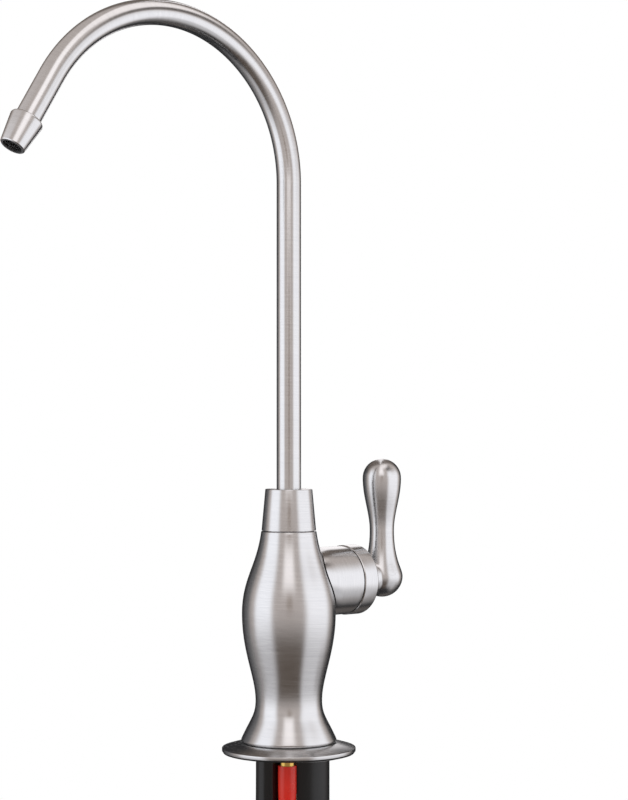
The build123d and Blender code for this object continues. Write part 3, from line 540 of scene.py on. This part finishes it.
def makeBase(s, g):
    outline = [
        (s["bore"], s["recessTop"]), (s["recessRadius"], s["recessTop"]), (s["recessRadius"], s["rimLow"]),
        (s["radius"], s["rimLow"]), (s["radius"], s["rimHigh"]), (s["landRadius"], s["landHeight"]),
        (s["bore"], s["landHeight"]),
    ]
    plate = spun("basePlate", eased(outline, s["edge"]))
    finished(plate, "tap_body", nickelBody, "brushed_nickel", "base_plate")
    skirt, top = s["rimLow"] / 2, s["recessTop"] - g["gap"]
    outline = chain(
        [(s["bore"], 0.0)], arcPoints((g["skirtRadius"] - skirt, skirt), skirt, -90, 90),
        [(g["padRadius"], s["rimLow"]), (g["padRadius"], top), (s["bore"], top)],
    )
    finished(spun("baseGasket", outline), "tap_body", nitrile, "black_rubber", "base_gasket")


makeBase(basePlate, baseGasket)


# Body shell: a turned vase form

bodyShell = dict(
    footRadius=18.5, footEdge=1.3, footLow=4.0, waistRadius=12.95, waistHeight=20.3, bellyRadius=18.25,
    bellyHeight=54.0, neckRadius=10.75, neckHeight=86.0, wall=2.2, footWall=4.3, neckWall=2.65, edge=0.3,
    pulls=dict(foot=7.8, footSlope=3.51, waistLow=5.85, waistHigh=8.93, bellyLow=15.0, bellyHigh=13.6,
               neck=13.76, neckSlope=1.79),
    hollowInset=10.0, neckBoreLow=72.0, footBoreHigh=9.0, outlineSteps=36, around=192,
    ventRadius=1.25, ventHeight=35.0, portRadius=9.92, portFrom=5.0, cutReach=30.0,
)


def bodyOutline(s, inset=0.0):
    p = s["pulls"]
    foot = (s["footRadius"] - inset, s["footLow"] + s["footEdge"])
    waist = (s["waistRadius"] - inset, s["waistHeight"])
    belly = (s["bellyRadius"] - inset, s["bellyHeight"])
    neck = (s["neckRadius"] - inset, s["neckHeight"])
    return chain(
        bezierPoints(
            foot, (foot[0] - p["footSlope"], foot[1] + p["foot"]), (waist[0], waist[1] - p["waistLow"]), waist
        ),
        bezierPoints(
            waist, (waist[0], waist[1] + p["waistHigh"]), (belly[0], belly[1] - p["bellyLow"]), belly,
            s["outlineSteps"],
        ),
        bezierPoints(
            belly, (belly[0], belly[1] + p["bellyHigh"]), (neck[0] + p["neckSlope"], neck[1] - p["neck"]),
            neck, s["outlineSteps"],
        ),
    )


def makeBody(s):
    turned = (s["footRadius"] - s["footEdge"], s["footLow"] + s["footEdge"])
    outside = chain(arcPoints(turned, s["footEdge"], -90, 0), bodyOutline(s))
    low, high = s["hollowInset"], s["neckHeight"] - s["hollowInset"]
    hollow = [(r, h) for r, h in bodyOutline(s, s["wall"]) if low < h < high]
    neck, foot = s["neckRadius"] - s["neckWall"], s["footRadius"] - s["footWall"]
    inside = [(neck, s["neckHeight"]), (neck, s["neckBoreLow"])] + hollow[::-1]
    inside += [(foot, s["footBoreHigh"]), (foot, s["footLow"])]
    body = spun("bodyShell", eased(outside + inside, s["edge"]), steps=s["around"])
    backwards = Matrix.Translation((0, 0, s["ventHeight"])) @ Matrix.Rotation(math.radians(-90), 4, "X")
    combined(body, rod("vent", s["ventRadius"], 0, s["cutReach"], backwards, 40), "DIFFERENCE")
    combined(body, rod("port", s["portRadius"], s["portFrom"], s["cutReach"], valveAxis), "DIFFERENCE")
    finished(grained(body, uprightAxis), "tap_body", nickelBody, "brushed_nickel", "body_shell")


makeBody(bodyShell)


# Collar between the body and the spout

spoutCollar = dict(
    low=86.0, high=102.4, bottomRadius=10.6, topRadius=9.15, edge=0.3, bore=5.06, seatRadius=8.07, lip=2.1,
    seam=0.3, seamDepth=0.9, lowEdge=0.2,
)


def makeCollar(s):
    groove, low = s["bottomRadius"] - s["seamDepth"], s["low"] + s["seam"]
    outline = [(s["seatRadius"], s["low"]), (groove, s["low"]), (groove, low)]
    outline += arcPoints((s["bottomRadius"] - s["lowEdge"], low + s["lowEdge"]), s["lowEdge"], -90, 0)
    outline += [
        (s["topRadius"], s["high"]), (s["bore"], s["high"]), (s["bore"], s["high"] - s["lip"]),
        (s["seatRadius"], s["high"] - s["lip"]),
    ]
    collar = spun("spoutCollar", eased(outline, s["edge"]))
    finished(collar, "tap_body", nickelBody, "brushed_nickel", "spout_collar")


makeCollar(spoutCollar)


# Spout tube: bent through most of a half turn, with a tapered tip

spoutTube = dict(
    radius=4.7625, wall=1.0, foot=87.9, bendRadius=59.7, bendHeight=221.0, bendAngle=148.0, straight=19.0,
    uprightSteps=40, bendSteps=120, endSteps=8,
)
spoutTip = dict(
    length=12.3, topRadius=6.25, topEdge=1.1, bottomRadius=4.75, rimEdge=0.3, bore=3.7, socket=8.0, gap=0.02,
)


def spoutLine(s):  # gives the axis at any distance from the tube's foot
    upright = s["bendHeight"] - s["foot"]
    sweep = math.radians(s["bendAngle"])

    def at(distance):
        turn = min(max((distance - upright) / s["bendRadius"], 0.0), sweep)
        past = max(distance - upright - s["bendRadius"] * sweep, 0.0)
        ahead = Vector((-math.sin(turn), 0, math.cos(turn)))
        x = -s["bendRadius"] * (1 - math.cos(turn))
        z = s["foot"] + min(distance, upright) + s["bendRadius"] * math.sin(turn)
        side = Vector((0, 1, 0))
        here = Matrix((ahead.cross(side) * -1, side, ahead)).transposed().to_4x4()
        here.translation = Vector((x, 0, z)) + ahead * past
        return here

    return at, upright, s["bendRadius"] * sweep


def makeSpout(s, tip):
    at, upright, bend = spoutLine(s)
    visible = upright + bend + s["straight"]
    end = s["straight"] + tip["socket"]
    stations = [upright * i / s["uprightSteps"] for i in range(s["uprightSteps"])]
    stations += [upright + bend * i / s["bendSteps"] for i in range(s["bendSteps"] + 1)]
    stations += [upright + bend + end * i / s["endSteps"] for i in range(1, s["endSteps"] + 1)]
    outside = [(s["radius"], place) for place in stations]
    inside = [(s["radius"] - s["wall"], place) for place in stations[::-1]]
    tube = spun("spoutTube", outside + inside, at, steps=96)
    finished(tube, "spout", nickelTube, "brushed_nickel", "spout_tube")
    socket, seat = s["radius"] + tip["gap"], tip["socket"] + tip["gap"]
    outline = chain(
        [(socket, 0.0), (tip["topRadius"] - tip["topEdge"], 0.0)],
        arcPoints((tip["topRadius"] - tip["topEdge"], tip["topEdge"]), tip["topEdge"], -90, 0),
        [
            (tip["bottomRadius"], tip["length"] - tip["rimEdge"]),
            (tip["bottomRadius"] - tip["rimEdge"], tip["length"]),
            (tip["bore"], tip["length"]), (tip["bore"], seat), (socket, seat),
        ],
    )
    finished(spun("spoutTip", outline, at(visible)), "spout", nickelBody, "brushed_nickel", "spout_tip")


makeSpout(spoutTube, spoutTip)
print("body and spout made")


# Valve barrel, coped to the body's vase form

valveBarrel = dict(
    radius=13.5, end=27.6, edge=0.45, gap=0.3, recess=10.4, recessDepth=3.6, noseRadius=9.9, noseWall=1.1,
    noseStart=6.0, copeEdge=0.15, copeEase=0.04, endEase=0.08, recessEdge=0.2,
)


def makeBarrel(s, b, steps=160):
    curve = bodyOutline(b)
    heights = [h for r, h in curve]
    radii = [r for r, h in curve]
    circle = [2 * math.pi * k / steps for k in range(steps)]

    def copedRing(radius, extra):
        row = []
        for angle in circle:
            y, z = radius * math.cos(angle), radius * math.sin(angle)
            bodyRadius = float(np.interp(handleHeight + z, heights, radii)) + s["gap"] + extra
            row.append((y, z, math.sqrt(max(bodyRadius ** 2 - y * y, 0.0))))
        return row

    rings = [
        copedRing(s["noseRadius"], 0.0), copedRing((s["noseRadius"] + s["radius"]) / 2, 0.0),
        copedRing(s["radius"] - s["copeEdge"], 0.0), copedRing(s["radius"] - s["copeEase"], s["copeEase"]),
        copedRing(s["radius"], s["copeEdge"]),
    ]
    coped = rings[-1]
    for share in (0.3, 0.6, 0.9):
        rings.append([(y, z, x + (s["end"] - s["edge"] - x) * share) for y, z, x in coped])
    nose, bed = s["noseRadius"] - s["noseWall"], s["end"] - s["recessDepth"]
    for radius, place in (
        (s["radius"], s["end"] - s["edge"]), (s["radius"] - s["endEase"], s["end"] - s["endEase"]),
        (s["radius"] - s["edge"], s["end"]), (s["recess"] + s["recessEdge"], s["end"]),
        (s["recess"], s["end"] - s["recessEdge"]), (s["recess"], bed), (nose, bed), (nose, s["noseStart"]),
        (s["noseRadius"], s["noseStart"]),
    ):
        rings.append([(radius * math.cos(angle), radius * math.sin(angle), place) for angle in circle])
    points = [valveAxis @ Vector(p) for ring in rings for p in ring]
    faces = []
    for i in range(len(rings)):
        low, high = i * steps, (i + 1) % len(rings) * steps
        for k in range(steps):
            nextK = (k + 1) % steps
            faces.append([low + k, low + nextK, high + nextK, high + k])
    barrel = newObject("valveBarrel", points, faces)
    finished(grained(barrel, valveAxis), "tap_body", nickelValve, "brushed_nickel", "valve_sleeve")


makeBarrel(valveBarrel, bodyShell)


# Lever handle: hub, neck and upright lever in one casting

leverHandle = dict(
    hubStart=27.9, hubEnd=35.2, hubRadius=13.8, hubEdge=0.3, hubOuterEdge=1.0, hubEase=0.08,
    cavityRadius=11.4, cavityDepth=3.6, wellInset=1.5, wellDepth=2.0,
    neckRoot=10.4, neckSink=1.6, neckRadius=6.2, neckReach=41.5, offset=49.0, bulbRadius=8.4, bulbHeight=66.0,
    waistRadius=4.9, waistHeight=84.5, headRadius=7.75, headHeight=105.6, voxel=0.4, smoothing=8,
    pulls=dict(neckRoot=2.8, neck=4.2, bulb=3.0, waistLow=12.0, waistHigh=7.0, head=8.0),
)
screwPlug = dict(place=47.5, tilt=25.0, holeRadius=2.3, radius=2.28, low=7.15, gap=0.02, past=1.0, steps=64)
leverAxis = Matrix.Translation((leverHandle["offset"], 0, 0))
plugAxis = Matrix.Translation((screwPlug["place"], 0, handleHeight)) @ Matrix.Rotation(
    math.radians(90 - screwPlug["tilt"]), 4, "X"
)


def makeLever(s, plug):
    p = s["pulls"]
    well, wellFloor = s["neckRoot"] - s["wellInset"], s["hubEnd"] - s["wellDepth"]
    hub = chain(
        [(s["cavityRadius"], s["hubStart"]), (s["hubRadius"] - s["hubEdge"], s["hubStart"])],
        [(s["hubRadius"], s["hubStart"] + s["hubEdge"])],
        arcPoints(
            (s["hubRadius"] - s["hubOuterEdge"], s["hubEnd"] - s["hubOuterEdge"]), s["hubOuterEdge"], 0, 90
        ),
        [(well, s["hubEnd"]), (well, wellFloor), (0.0, wellFloor)],
        [(0.0, s["hubStart"] + s["cavityDepth"]), (s["cavityRadius"], s["hubStart"] + s["cavityDepth"])],
    )
    hubPiece = grained(spun("leverHub", eased(hub, s["hubEase"]), valveAxis, closed=False), valveAxis)
    sunk = s["hubEnd"] - s["neckSink"]
    neck = spun(
        "neck",
        chain(
            [(0, sunk), (s["neckRoot"], sunk)],
            bezierPoints(
                (s["neckRoot"], s["hubEnd"]), (s["neckRoot"] - p["neckRoot"], s["hubEnd"]),
                (s["neckRadius"], s["neckReach"] - p["neck"]), (s["neckRadius"], s["neckReach"]),
            ),
            [(s["neckRadius"], s["offset"]), (0, s["offset"])],
        ),
        valveAxis, closed=False,
    )
    bulb, waist = (s["bulbRadius"], s["bulbHeight"]), (s["waistRadius"], s["waistHeight"])
    head = (s["headRadius"], s["headHeight"])
    lever = spun(
        "leverHandle",
        chain(
            arcPoints((0, s["bulbHeight"]), s["bulbRadius"], -90, 0, steps=24),
            bezierPoints(bulb, (bulb[0], bulb[1] + p["bulb"]), (waist[0], waist[1] - p["waistLow"]), waist),
            bezierPoints(waist, (waist[0], waist[1] + p["waistHigh"]), (head[0], head[1] - p["head"]), head),
            arcPoints((0, s["headHeight"]), s["headRadius"], 0, 90, steps=24),
        ),
        leverAxis, closed=False,
    )
    combined(lever, neck, "UNION")
    step = lever.modifiers.new("remesh", "REMESH")
    step.mode = "VOXEL"
    step.voxel_size = s["voxel"] * mm
    step = lever.modifiers.new("smooth", "SMOOTH")
    step.iterations = s["smoothing"]
    applied(lever)
    uncut = linked("uncut", lever.data.copy())
    past = s["bulbRadius"] + plug["past"]
    hole = rod("plugHole", plug["holeRadius"], plug["low"], past, plugAxis, plug["steps"])
    combined(lever, hole, "DIFFERENCE")
    finished(grained(lever, leverAxis), "handle", nickelBody, "brushed_nickel", "lever_handle")
    finished(hubPiece, "handle", nickelValve, "brushed_nickel")
    return uncut


def makePlug(s, bulb, uncut):  # its face is the bulb's own surface
    plug = rod("screwPlug", s["radius"], s["low"] + s["gap"], bulb + s["past"], plugAxis, s["steps"])
    combined(plug, uncut, "INTERSECT")
    finished(grained(plug, leverAxis), "handle", nickelBody, "brushed_nickel", "screw_plug")


makePlug(screwPlug, leverHandle["bulbRadius"], makeLever(leverHandle, screwPlug))
print("valve and lever made")


# Clamp parts under the deck: threaded shank, slotted washer, nut

shankThread = dict(
    low=-83.45, high=5.45, crest=5.55, root=4.95, pitch=25.4 / 24, flankTop=1.125, flankFall=1.25,
    spareTurns=3, steps=48, perTurn=8, bore=3.0, boreLow=-90.0, boreHigh=10.0, cutWithin=0.0001,
)


def makeShank(s):  # one true helix: every row of points climbs a pitch in a turn
    count, steps = s["perTurn"], s["steps"]
    rows = math.ceil((s["high"] - s["low"]) / s["pitch"] + s["spareTurns"]) * count
    start = s["low"] - s["spareTurns"] / 2 * s["pitch"]
    points, faces = [], []
    for i in range(rows + 1):
        along = abs((i % count) / count - 0.5) * 2
        cut = min(max(s["flankTop"] - s["flankFall"] * along, 0.0), 1.0)
        radius = s["crest"] - (s["crest"] - s["root"]) * cut
        for k in range(steps):
            angle = 2 * math.pi * k / steps
            height = start + (i / count - k / steps) * s["pitch"]
            points.append(shankAxis @ Vector((radius * math.cos(angle), radius * math.sin(angle), height)))
    for i in range(count, rows):
        for k in range(steps):
            near, far = i * steps + k, (i * steps + k + 1) if k < steps - 1 else (i - count) * steps
            faces.append([near, far, far + steps, near + steps])
    shank = newObject("shankThread", points, faces)
    work = bmesh.new()
    work.from_mesh(shank.data)
    for height, way in ((s["low"], -1), (s["high"], 1)):
        bmesh.ops.bisect_plane(
            work, geom=work.verts[:] + work.edges[:] + work.faces[:], plane_co=(0, 0, height * mm),
            plane_no=(0, 0, way), clear_outer=True,
        )
        bmesh.ops.contextual_create(work, geom=[
            edge for edge in work.edges
            if edge.is_boundary and all(abs(v.co.z / mm - height) < s["cutWithin"] for v in edge.verts)
        ])
    bmesh.ops.delete(work, geom=[v for v in work.verts if not v.link_faces], context="VERTS")
    bmesh.ops.recalc_face_normals(work, faces=work.faces)
    work.to_mesh(shank.data)
    work.free()
    combined(shank, rod("bore", s["bore"], s["boreLow"], s["boreHigh"], shankAxis, s["steps"]), "DIFFERENCE")
    finished(shank, "tap_body", platedSteel, "plated_steel", "shank")


makeShank(shankThread)

slottedWasher = dict(
    top=-0.1, thickness=1.2, centre=3.0, radius=20.0, slotHalf=9.6, slotEnd=0.95, throat=5.85, edge=0.22,
)


def makeWasher(s):  # a U, open towards the hoses
    corner = math.degrees(math.asin(s["slotHalf"] / s["radius"]))
    outline = chain(
        arcPoints((s["centre"], 0), s["radius"], 180 + corner, 540 - corner, steps=120),
        [(s["slotEnd"], s["slotHalf"]), (s["slotEnd"], s["throat"])],
        arcPoints((shankOffset, 0), s["throat"], 90, -90, steps=32),
        [(s["slotEnd"], -s["throat"]), (s["slotEnd"], -s["slotHalf"])],
    )
    sheet = prism("slottedWasher", outline, s["top"] - s["thickness"], s["top"])
    washer = bevelled(sheet, s["edge"], segments=3, angle=40.0)
    finished(washer, "clamp_stack", polishedSteel, "polished_steel", "slotted_washer")


makeWasher(slottedWasher)

mountingNut = dict(acrossFlats=14.3, low=-51.8, high=-46.1, corner=0.9, edge=0.12, bore=5.6, past=1.0)


def hexagon(name, s):  # its corners are turned off at both ends and every edge is softened
    reach = s["acrossFlats"] / math.sqrt(3)
    flat = s["acrossFlats"] / 2
    outline = [(reach * math.cos(math.pi * i / 3), reach * math.sin(math.pi * i / 3)) for i in range(6)]
    piece = prism(name, outline, s["low"], s["high"], shankAxis)
    turned = [
        (0, s["low"]), (flat, s["low"]), (reach, s["low"] + s["corner"]), (reach, s["high"] - s["corner"]),
        (flat, s["high"]), (0, s["high"]),
    ]
    combined(piece, spun("turned", turned, shankAxis, closed=False, steps=144), "INTERSECT")
    return bevelled(piece, s["edge"], segments=2, angle=28.0)


def bored(piece, radius, low, high):
    return combined(piece, rod("bore", radius, low, high, shankAxis), "DIFFERENCE")


def makeNut(s):
    nut = bored(hexagon("mountingNut", s), s["bore"], s["low"] - s["past"], s["high"] + s["past"])
    finished(nut, "clamp_nut", platedSteel, "plated_steel", "mounting_nut")


makeNut(mountingNut)
print("shank, washer and nut made")


# Push-fit connector at the shank's end

connector = dict(
    hexagon=dict(acrossFlats=17.5, low=-86.3, high=-72.5, corner=0.9, edge=0.3),
    tailSink=2.0, shoulderRadius=7.85, neckRadius=5.2, neckTop=-89.3, neckLow=-93.7, ringRadius=6.9,
    ringLow=-99.3, edge=0.35, socket=5.6, socketLow=-85.0, socketHigh=-60.0, tubeBore=3.28, tubeStop=-93.6,
    tubeOut=-120.0,
    capRadius=8.0, capTaper=-104.6, capLow=-107.6, mouth=5.8, colletHole=4.8, pocket=6.8, pocketLow=-101.1,
    colletLow=-109.6, colletTop=-102.4, colletRadius=4.7, flangeRadius=5.3, flange=0.8, colletBore=3.225,
    colletEdge=0.15,
)


def makeConnector(s):
    body = hexagon("connectorBody", s["hexagon"])
    low = s["hexagon"]["low"]
    outline = [
        (0, low + s["tailSink"]), (s["neckRadius"], low + s["tailSink"]), (s["shoulderRadius"], low),
        (s["neckRadius"], s["neckTop"]), (s["neckRadius"], s["neckLow"]), (s["ringRadius"], s["neckLow"]),
        (s["ringRadius"], s["ringLow"]), (0, s["ringLow"]),
    ]
    tail = spun("tail", eased(outline, s["edge"], closed=False, steps=4), shankAxis, closed=False)
    combined(body, tail, "UNION")
    bored(body, s["socket"], s["socketLow"], s["socketHigh"])
    bored(body, s["tubeBore"], s["tubeStop"], s["tubeOut"])
    finished(body, "tap_body", milkyAcetal, "white_plastic", "connector_body")
    top = s["ringLow"]
    taper = bezierPoints(
        (s["capRadius"], s["capTaper"]), (s["capRadius"], (s["capTaper"] + 2 * s["capLow"]) / 3),
        ((s["mouth"] + 2 * s["capRadius"]) / 3, s["capLow"]), (s["mouth"], s["capLow"]), steps=12,
    )
    outline = chain(
        [(s["pocket"], top), (s["capRadius"], top)], taper,
        [(s["colletHole"], s["capLow"]), (s["colletHole"], s["pocketLow"]), (s["pocket"], s["pocketLow"])],
    )
    cap = spun("connectorCap", eased(outline, s["edge"]), shankAxis)
    finished(cap, "tap_body", milkyAcetal, "white_plastic", "connector_cap")
    outline = [
        (s["colletBore"], s["colletLow"]), (s["flangeRadius"], s["colletLow"]),
        (s["flangeRadius"], s["colletLow"] + s["flange"]), (s["colletRadius"], s["colletLow"] + s["flange"]),
        (s["colletRadius"], s["colletTop"]), (s["colletBore"], s["colletTop"]),
    ]
    collet = spun("connectorCollet", eased(outline, s["colletEdge"]), shankAxis)
    finished(collet, "collet", milkyAcetal, "white_plastic", "connector_collet")


makeConnector(connector)
print("connector made")


# Carried-over nodes keep their solids and get their finishes

nodeFinishes = [
    (brass, [
        "foot_block", "supply_riser", "waste_barb", "waste_riser", "valve_block", "cartridge_body",
        "bonnet_nut", "spout_spigot", "valve_spindle",
    ]),
    (milkyAcetal, ["drain_spigot", "air_gap_funnel", "spout_bush"]),
    (nitrile, ["cartridge_seal", "spout_o_rings", "spindle_o_rings", "connector_seal", "connector_o_ring"]),
    (alumina, ["fixed_disc", "moving_disc"]),
    (springSteel, ["spindle_clip", "grub_screw"]),
    (platedSteel, ["lock_washer"]),
    (blackAcetal, ["spacer_sleeve"]),
]
for material, names in nodeFinishes:
    for name in names:
        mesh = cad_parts[name].data
        mesh.materials.clear()
        mesh.materials.append(material)
print("finishes given to the nodes that keep their solids")


# Stage: a pale floor far below, soft boxes, and a light tent that only the reflections show

floor = dict(depth=268.0, radius=1500.0, fadeFrom=380.0, fadeTo=1100.0, colour="#F2F2F2", lift=0.16)


def whiteToSee(tree):  # 1 where the camera, a reflection or a view through looks, 0 where light falls
    ray = addNode(tree, "ShaderNodeLightPath").outputs
    seen = addNode(
        tree, "ShaderNodeMath", {0: ray["Is Camera Ray"], 1: ray["Is Glossy Ray"]}, operation="MAXIMUM"
    ).outputs[0]
    return addNode(
        tree, "ShaderNodeMath", {0: seen, 1: ray["Is Transmission Ray"]}, operation="MAXIMUM"
    ).outputs[0]


def floorPaint(s):
    # White paint, rolled on, matt: it keeps the object's shadow, is lifted a little for the camera
    # and for reflections, and fades into the white background far away
    material, tree = newMaterial("floor paint")
    seen = whiteToSee(tree)
    matt = addNode(tree, "ShaderNodeBsdfDiffuse", {"Color": toLinear(s["colour"])})
    lift = addNode(tree, "ShaderNodeMath", {0: seen, 1: s["lift"]}, operation="MULTIPLY")
    glow = addNode(tree, "ShaderNodeEmission", {"Color": (1, 1, 1, 1), "Strength": lift.outputs[0]})
    near = addNode(tree, "ShaderNodeAddShader", {0: matt.outputs[0], 1: glow.outputs[0]})
    place = addNode(tree, "ShaderNodeTexCoord")
    flat = addNode(tree, "ShaderNodeVectorMath", {0: place.outputs["Object"]}, operation="LENGTH")
    share = addNode(
        tree, "ShaderNodeMapRange",
        {0: flat.outputs["Value"], 1: s["fadeFrom"] * mm, 2: s["fadeTo"] * mm, 3: 0.0, 4: 1.0},
        interpolation_type="SMOOTHSTEP",
    )
    far = addNode(tree, "ShaderNodeEmission", {"Color": (1, 1, 1, 1), "Strength": seen})
    shown = addNode(tree, "ShaderNodeMixShader", {0: share.outputs[0], 1: near.outputs[0], 2: far.outputs[0]})
    addNode(tree, "ShaderNodeOutputMaterial", {"Surface": shown.outputs[0]})
    return material


def makeFloor(s):
    disc = spun("floor", [(0, 0), (s["radius"], 0)], closed=False, steps=96)
    disc.location = (0, 0, -s["depth"] * mm)
    disc.data.materials.append(floorPaint(s))
    disc.visible_glossy = False  # reflections show the tent below the tap instead


lightTent = dict(
    radius=480.0, brightest=1.6, cool="#F9FAFF", warm="#FFE6D3", back=0.035,
    panels=[  # later over earlier: bearing from the camera, elevation, width of the soft edges, level, warmth
        dict(name="ceiling behind", across=(-220, 220), up=(38, 120), soft=(10, 20), level=0.19, warm=0.8),
        dict(name="left rear wall", across=(-138, -100), up=(-60, 34), soft=(30, 20), level=0.17, warm=0.1),
        dict(name="low walls", across=(-110, 118), up=(-53, 3), soft=(36, 24), level=0.42, warm=0.3),
        dict(name="walls", across=(-110, 130), up=(-7, 120), soft=(24, 24), level=0.66, warm=0.5),
        dict(name="dark floor", across=(-40, 40), up=(-62, -12), soft=(18, 20), level=0.13, warm=1.0),
        dict(name="left floor", across=(-84, -42), up=(-52, -10), soft=(26, 28), level=0.68, warm=0.1),
        dict(name="left box", across=(-91, -42), up=(-10, 50), soft=(16, 28), level=1.43, warm=0.0),
        dict(name="right floor", across=(44, 96), up=(-42, -11), soft=(16, 26), level=0.8, warm=0.1),
        dict(name="right box", across=(43, 112), up=(-11, 38), soft=(20, 26), level=1.4, warm=0.05),
        dict(name="right upper box", across=(43, 72), up=(16, 45), soft=(20, 14), level=1.4, warm=0.05),
        dict(name="gap over right box", across=(46, 92), up=(51, 69), soft=(16, 12), level=0.15, warm=0.5),
        dict(name="overhead box", across=(-17, 17), up=(31, 120), soft=(14, 14), level=1.55, warm=0.25),
        dict(name="overhead light", across=(-17, 108), up=(66, 120), soft=(14, 8), level=1.4, warm=0.3),
        dict(name="camera", across=(-5, 9), up=(10, 27), soft=(6, 4), level=0.34, warm=1.0),
        dict(name="back light", across=(167, 220), up=(14, 120), soft=(6, 8), level=1.4, warm=0.2),
        dict(name="back light past 180", across=(-220, -179), up=(14, 120), soft=(3, 8), level=1.4, warm=0.2),
        dict(name="table behind", across=(140, 220), up=(-58, -26), soft=(20, 16), level=0.14, warm=0.5),
    ],
)


def makeTent(s):  # what the metal reflects, seen by reflections alone
    tent = spun("lightTent", arcPoints((0, 0), s["radius"], -90, 90, steps=24), closed=False, steps=48)
    tent.rotation_euler = (0, 0, math.radians(cameraSettings["bearing"]))
    material, tree = newMaterial("tent cloth")
    place = addNode(tree, "ShaderNodeTexCoord")
    way = addNode(tree, "ShaderNodeVectorMath", {0: place.outputs["Object"]}, operation="NORMALIZE")
    parts = addNode(tree, "ShaderNodeSeparateXYZ", {0: way.outputs[0]})
    ahead = addNode(tree, "ShaderNodeMath", {0: parts.outputs["Y"], 1: -1.0}, operation="MULTIPLY")
    turn = addNode(tree, "ShaderNodeMath", {0: parts.outputs["X"], 1: ahead.outputs[0]}, operation="ARCTAN2")
    bearing = addNode(tree, "ShaderNodeMath", {0: turn.outputs[0]}, operation="DEGREES")
    climb = addNode(tree, "ShaderNodeMath", {0: parts.outputs["Z"]}, operation="ARCSINE")
    elevation = addNode(tree, "ShaderNodeMath", {0: climb.outputs[0]}, operation="DEGREES")
    cool, warm = Vector(toLinear(s["cool"])[:3]), Vector(toLinear(s["warm"])[:3])
    shown = None
    for panel in s["panels"]:
        mask = None
        sides = zip((bearing, elevation), (panel["across"], panel["up"]), panel["soft"])
        for angle, ends, soft in sides:
            for end, low, high in ((ends[0], 0.0, 1.0), (ends[1], 1.0, 0.0)):
                edge = addNode(
                    tree, "ShaderNodeMapRange",
                    {0: angle.outputs[0], 1: end - soft / 2, 2: end + soft / 2, 3: low, 4: high},
                    interpolation_type="SMOOTHSTEP",
                ).outputs[0]
                if mask:
                    both = addNode(tree, "ShaderNodeMath", {0: mask, 1: edge}, operation="MULTIPLY")
                    edge = both.outputs[0]
                mask = edge
        colour = (*(cool.lerp(warm, panel["warm"]) * panel["level"] / s["brightest"]), 1.0)
        under = shown or (*(cool * s["back"] / s["brightest"]), 1.0)
        shown = addNode(
            tree, "ShaderNodeMix", {0: mask, 6: under, 7: colour}, data_type="RGBA", label=panel["name"]
        ).outputs[2]
    glow = addNode(tree, "ShaderNodeEmission", {"Color": shown, "Strength": s["brightest"]})
    addNode(tree, "ShaderNodeOutputMaterial", {"Surface": glow.outputs[0]})
    material.cycles.emission_sampling = "NONE"
    tent.data.materials.append(material)
    tent.visible_camera = False
    tent.visible_diffuse = False
    tent.visible_shadow = False


def makeLamp(name, s):
    data = bpy.data.lights.new(name, "AREA")
    data.shape = "RECTANGLE"
    data.size = s["width"] * mm
    data.size_y = s["tall"] * mm
    data.energy = s["radiance"] * math.pi * data.size * data.size_y
    data.color = toLinear(s["colour"])[:3]
    lamp = linked(name, data)
    lamp.location = roundTap(cameraSettings["bearing"] + s["bearing"], s["distance"], s["height"])
    aim = Vector((0, 0, s["aim"] * mm)) - lamp.location
    lamp.rotation_euler = aim.to_track_quat("-Z", "Y").to_euler()
    lamp.visible_camera = False
    lamp.visible_glossy = False  # the tent carries their reflections


lamps = {
    "leftBox": dict(
        bearing=-62, distance=1000, height=230, aim=110, width=620, tall=1300, radiance=1.9, colour="#FFFEFC",
    ),
    "rightBox": dict(
        bearing=62, distance=1000, height=230, aim=110, width=620, tall=1300, radiance=1.9, colour="#FFFEFC",
    ),
    "topBox": dict(
        bearing=0, distance=420, height=1150, aim=100, width=900, tall=700, radiance=1.5, colour="#FFFCF8",
    ),
}
worldFill = 0.45  # the room's light on the object; the camera and reflections see full white


def makeWorld(fill):
    world = bpy.data.worlds.new("studio")
    bpy.context.scene.world = world
    world.use_nodes = True
    tree = world.node_tree
    tree.nodes.clear()
    level = addNode(tree, "ShaderNodeMapRange", {0: whiteToSee(tree), 3: fill, 4: 1.0})
    sky = addNode(tree, "ShaderNodeBackground", {"Color": (1, 1, 1, 1), "Strength": level.outputs[0]})
    addNode(tree, "ShaderNodeOutputWorld", {"Surface": sky.outputs[0]})


makeFloor(floor)
makeTent(lightTent)
for name, settings in lamps.items():
    makeLamp(name, settings)
makeWorld(worldFill)
bpy.context.scene.view_settings.view_transform = "Standard"
print("stage lit")
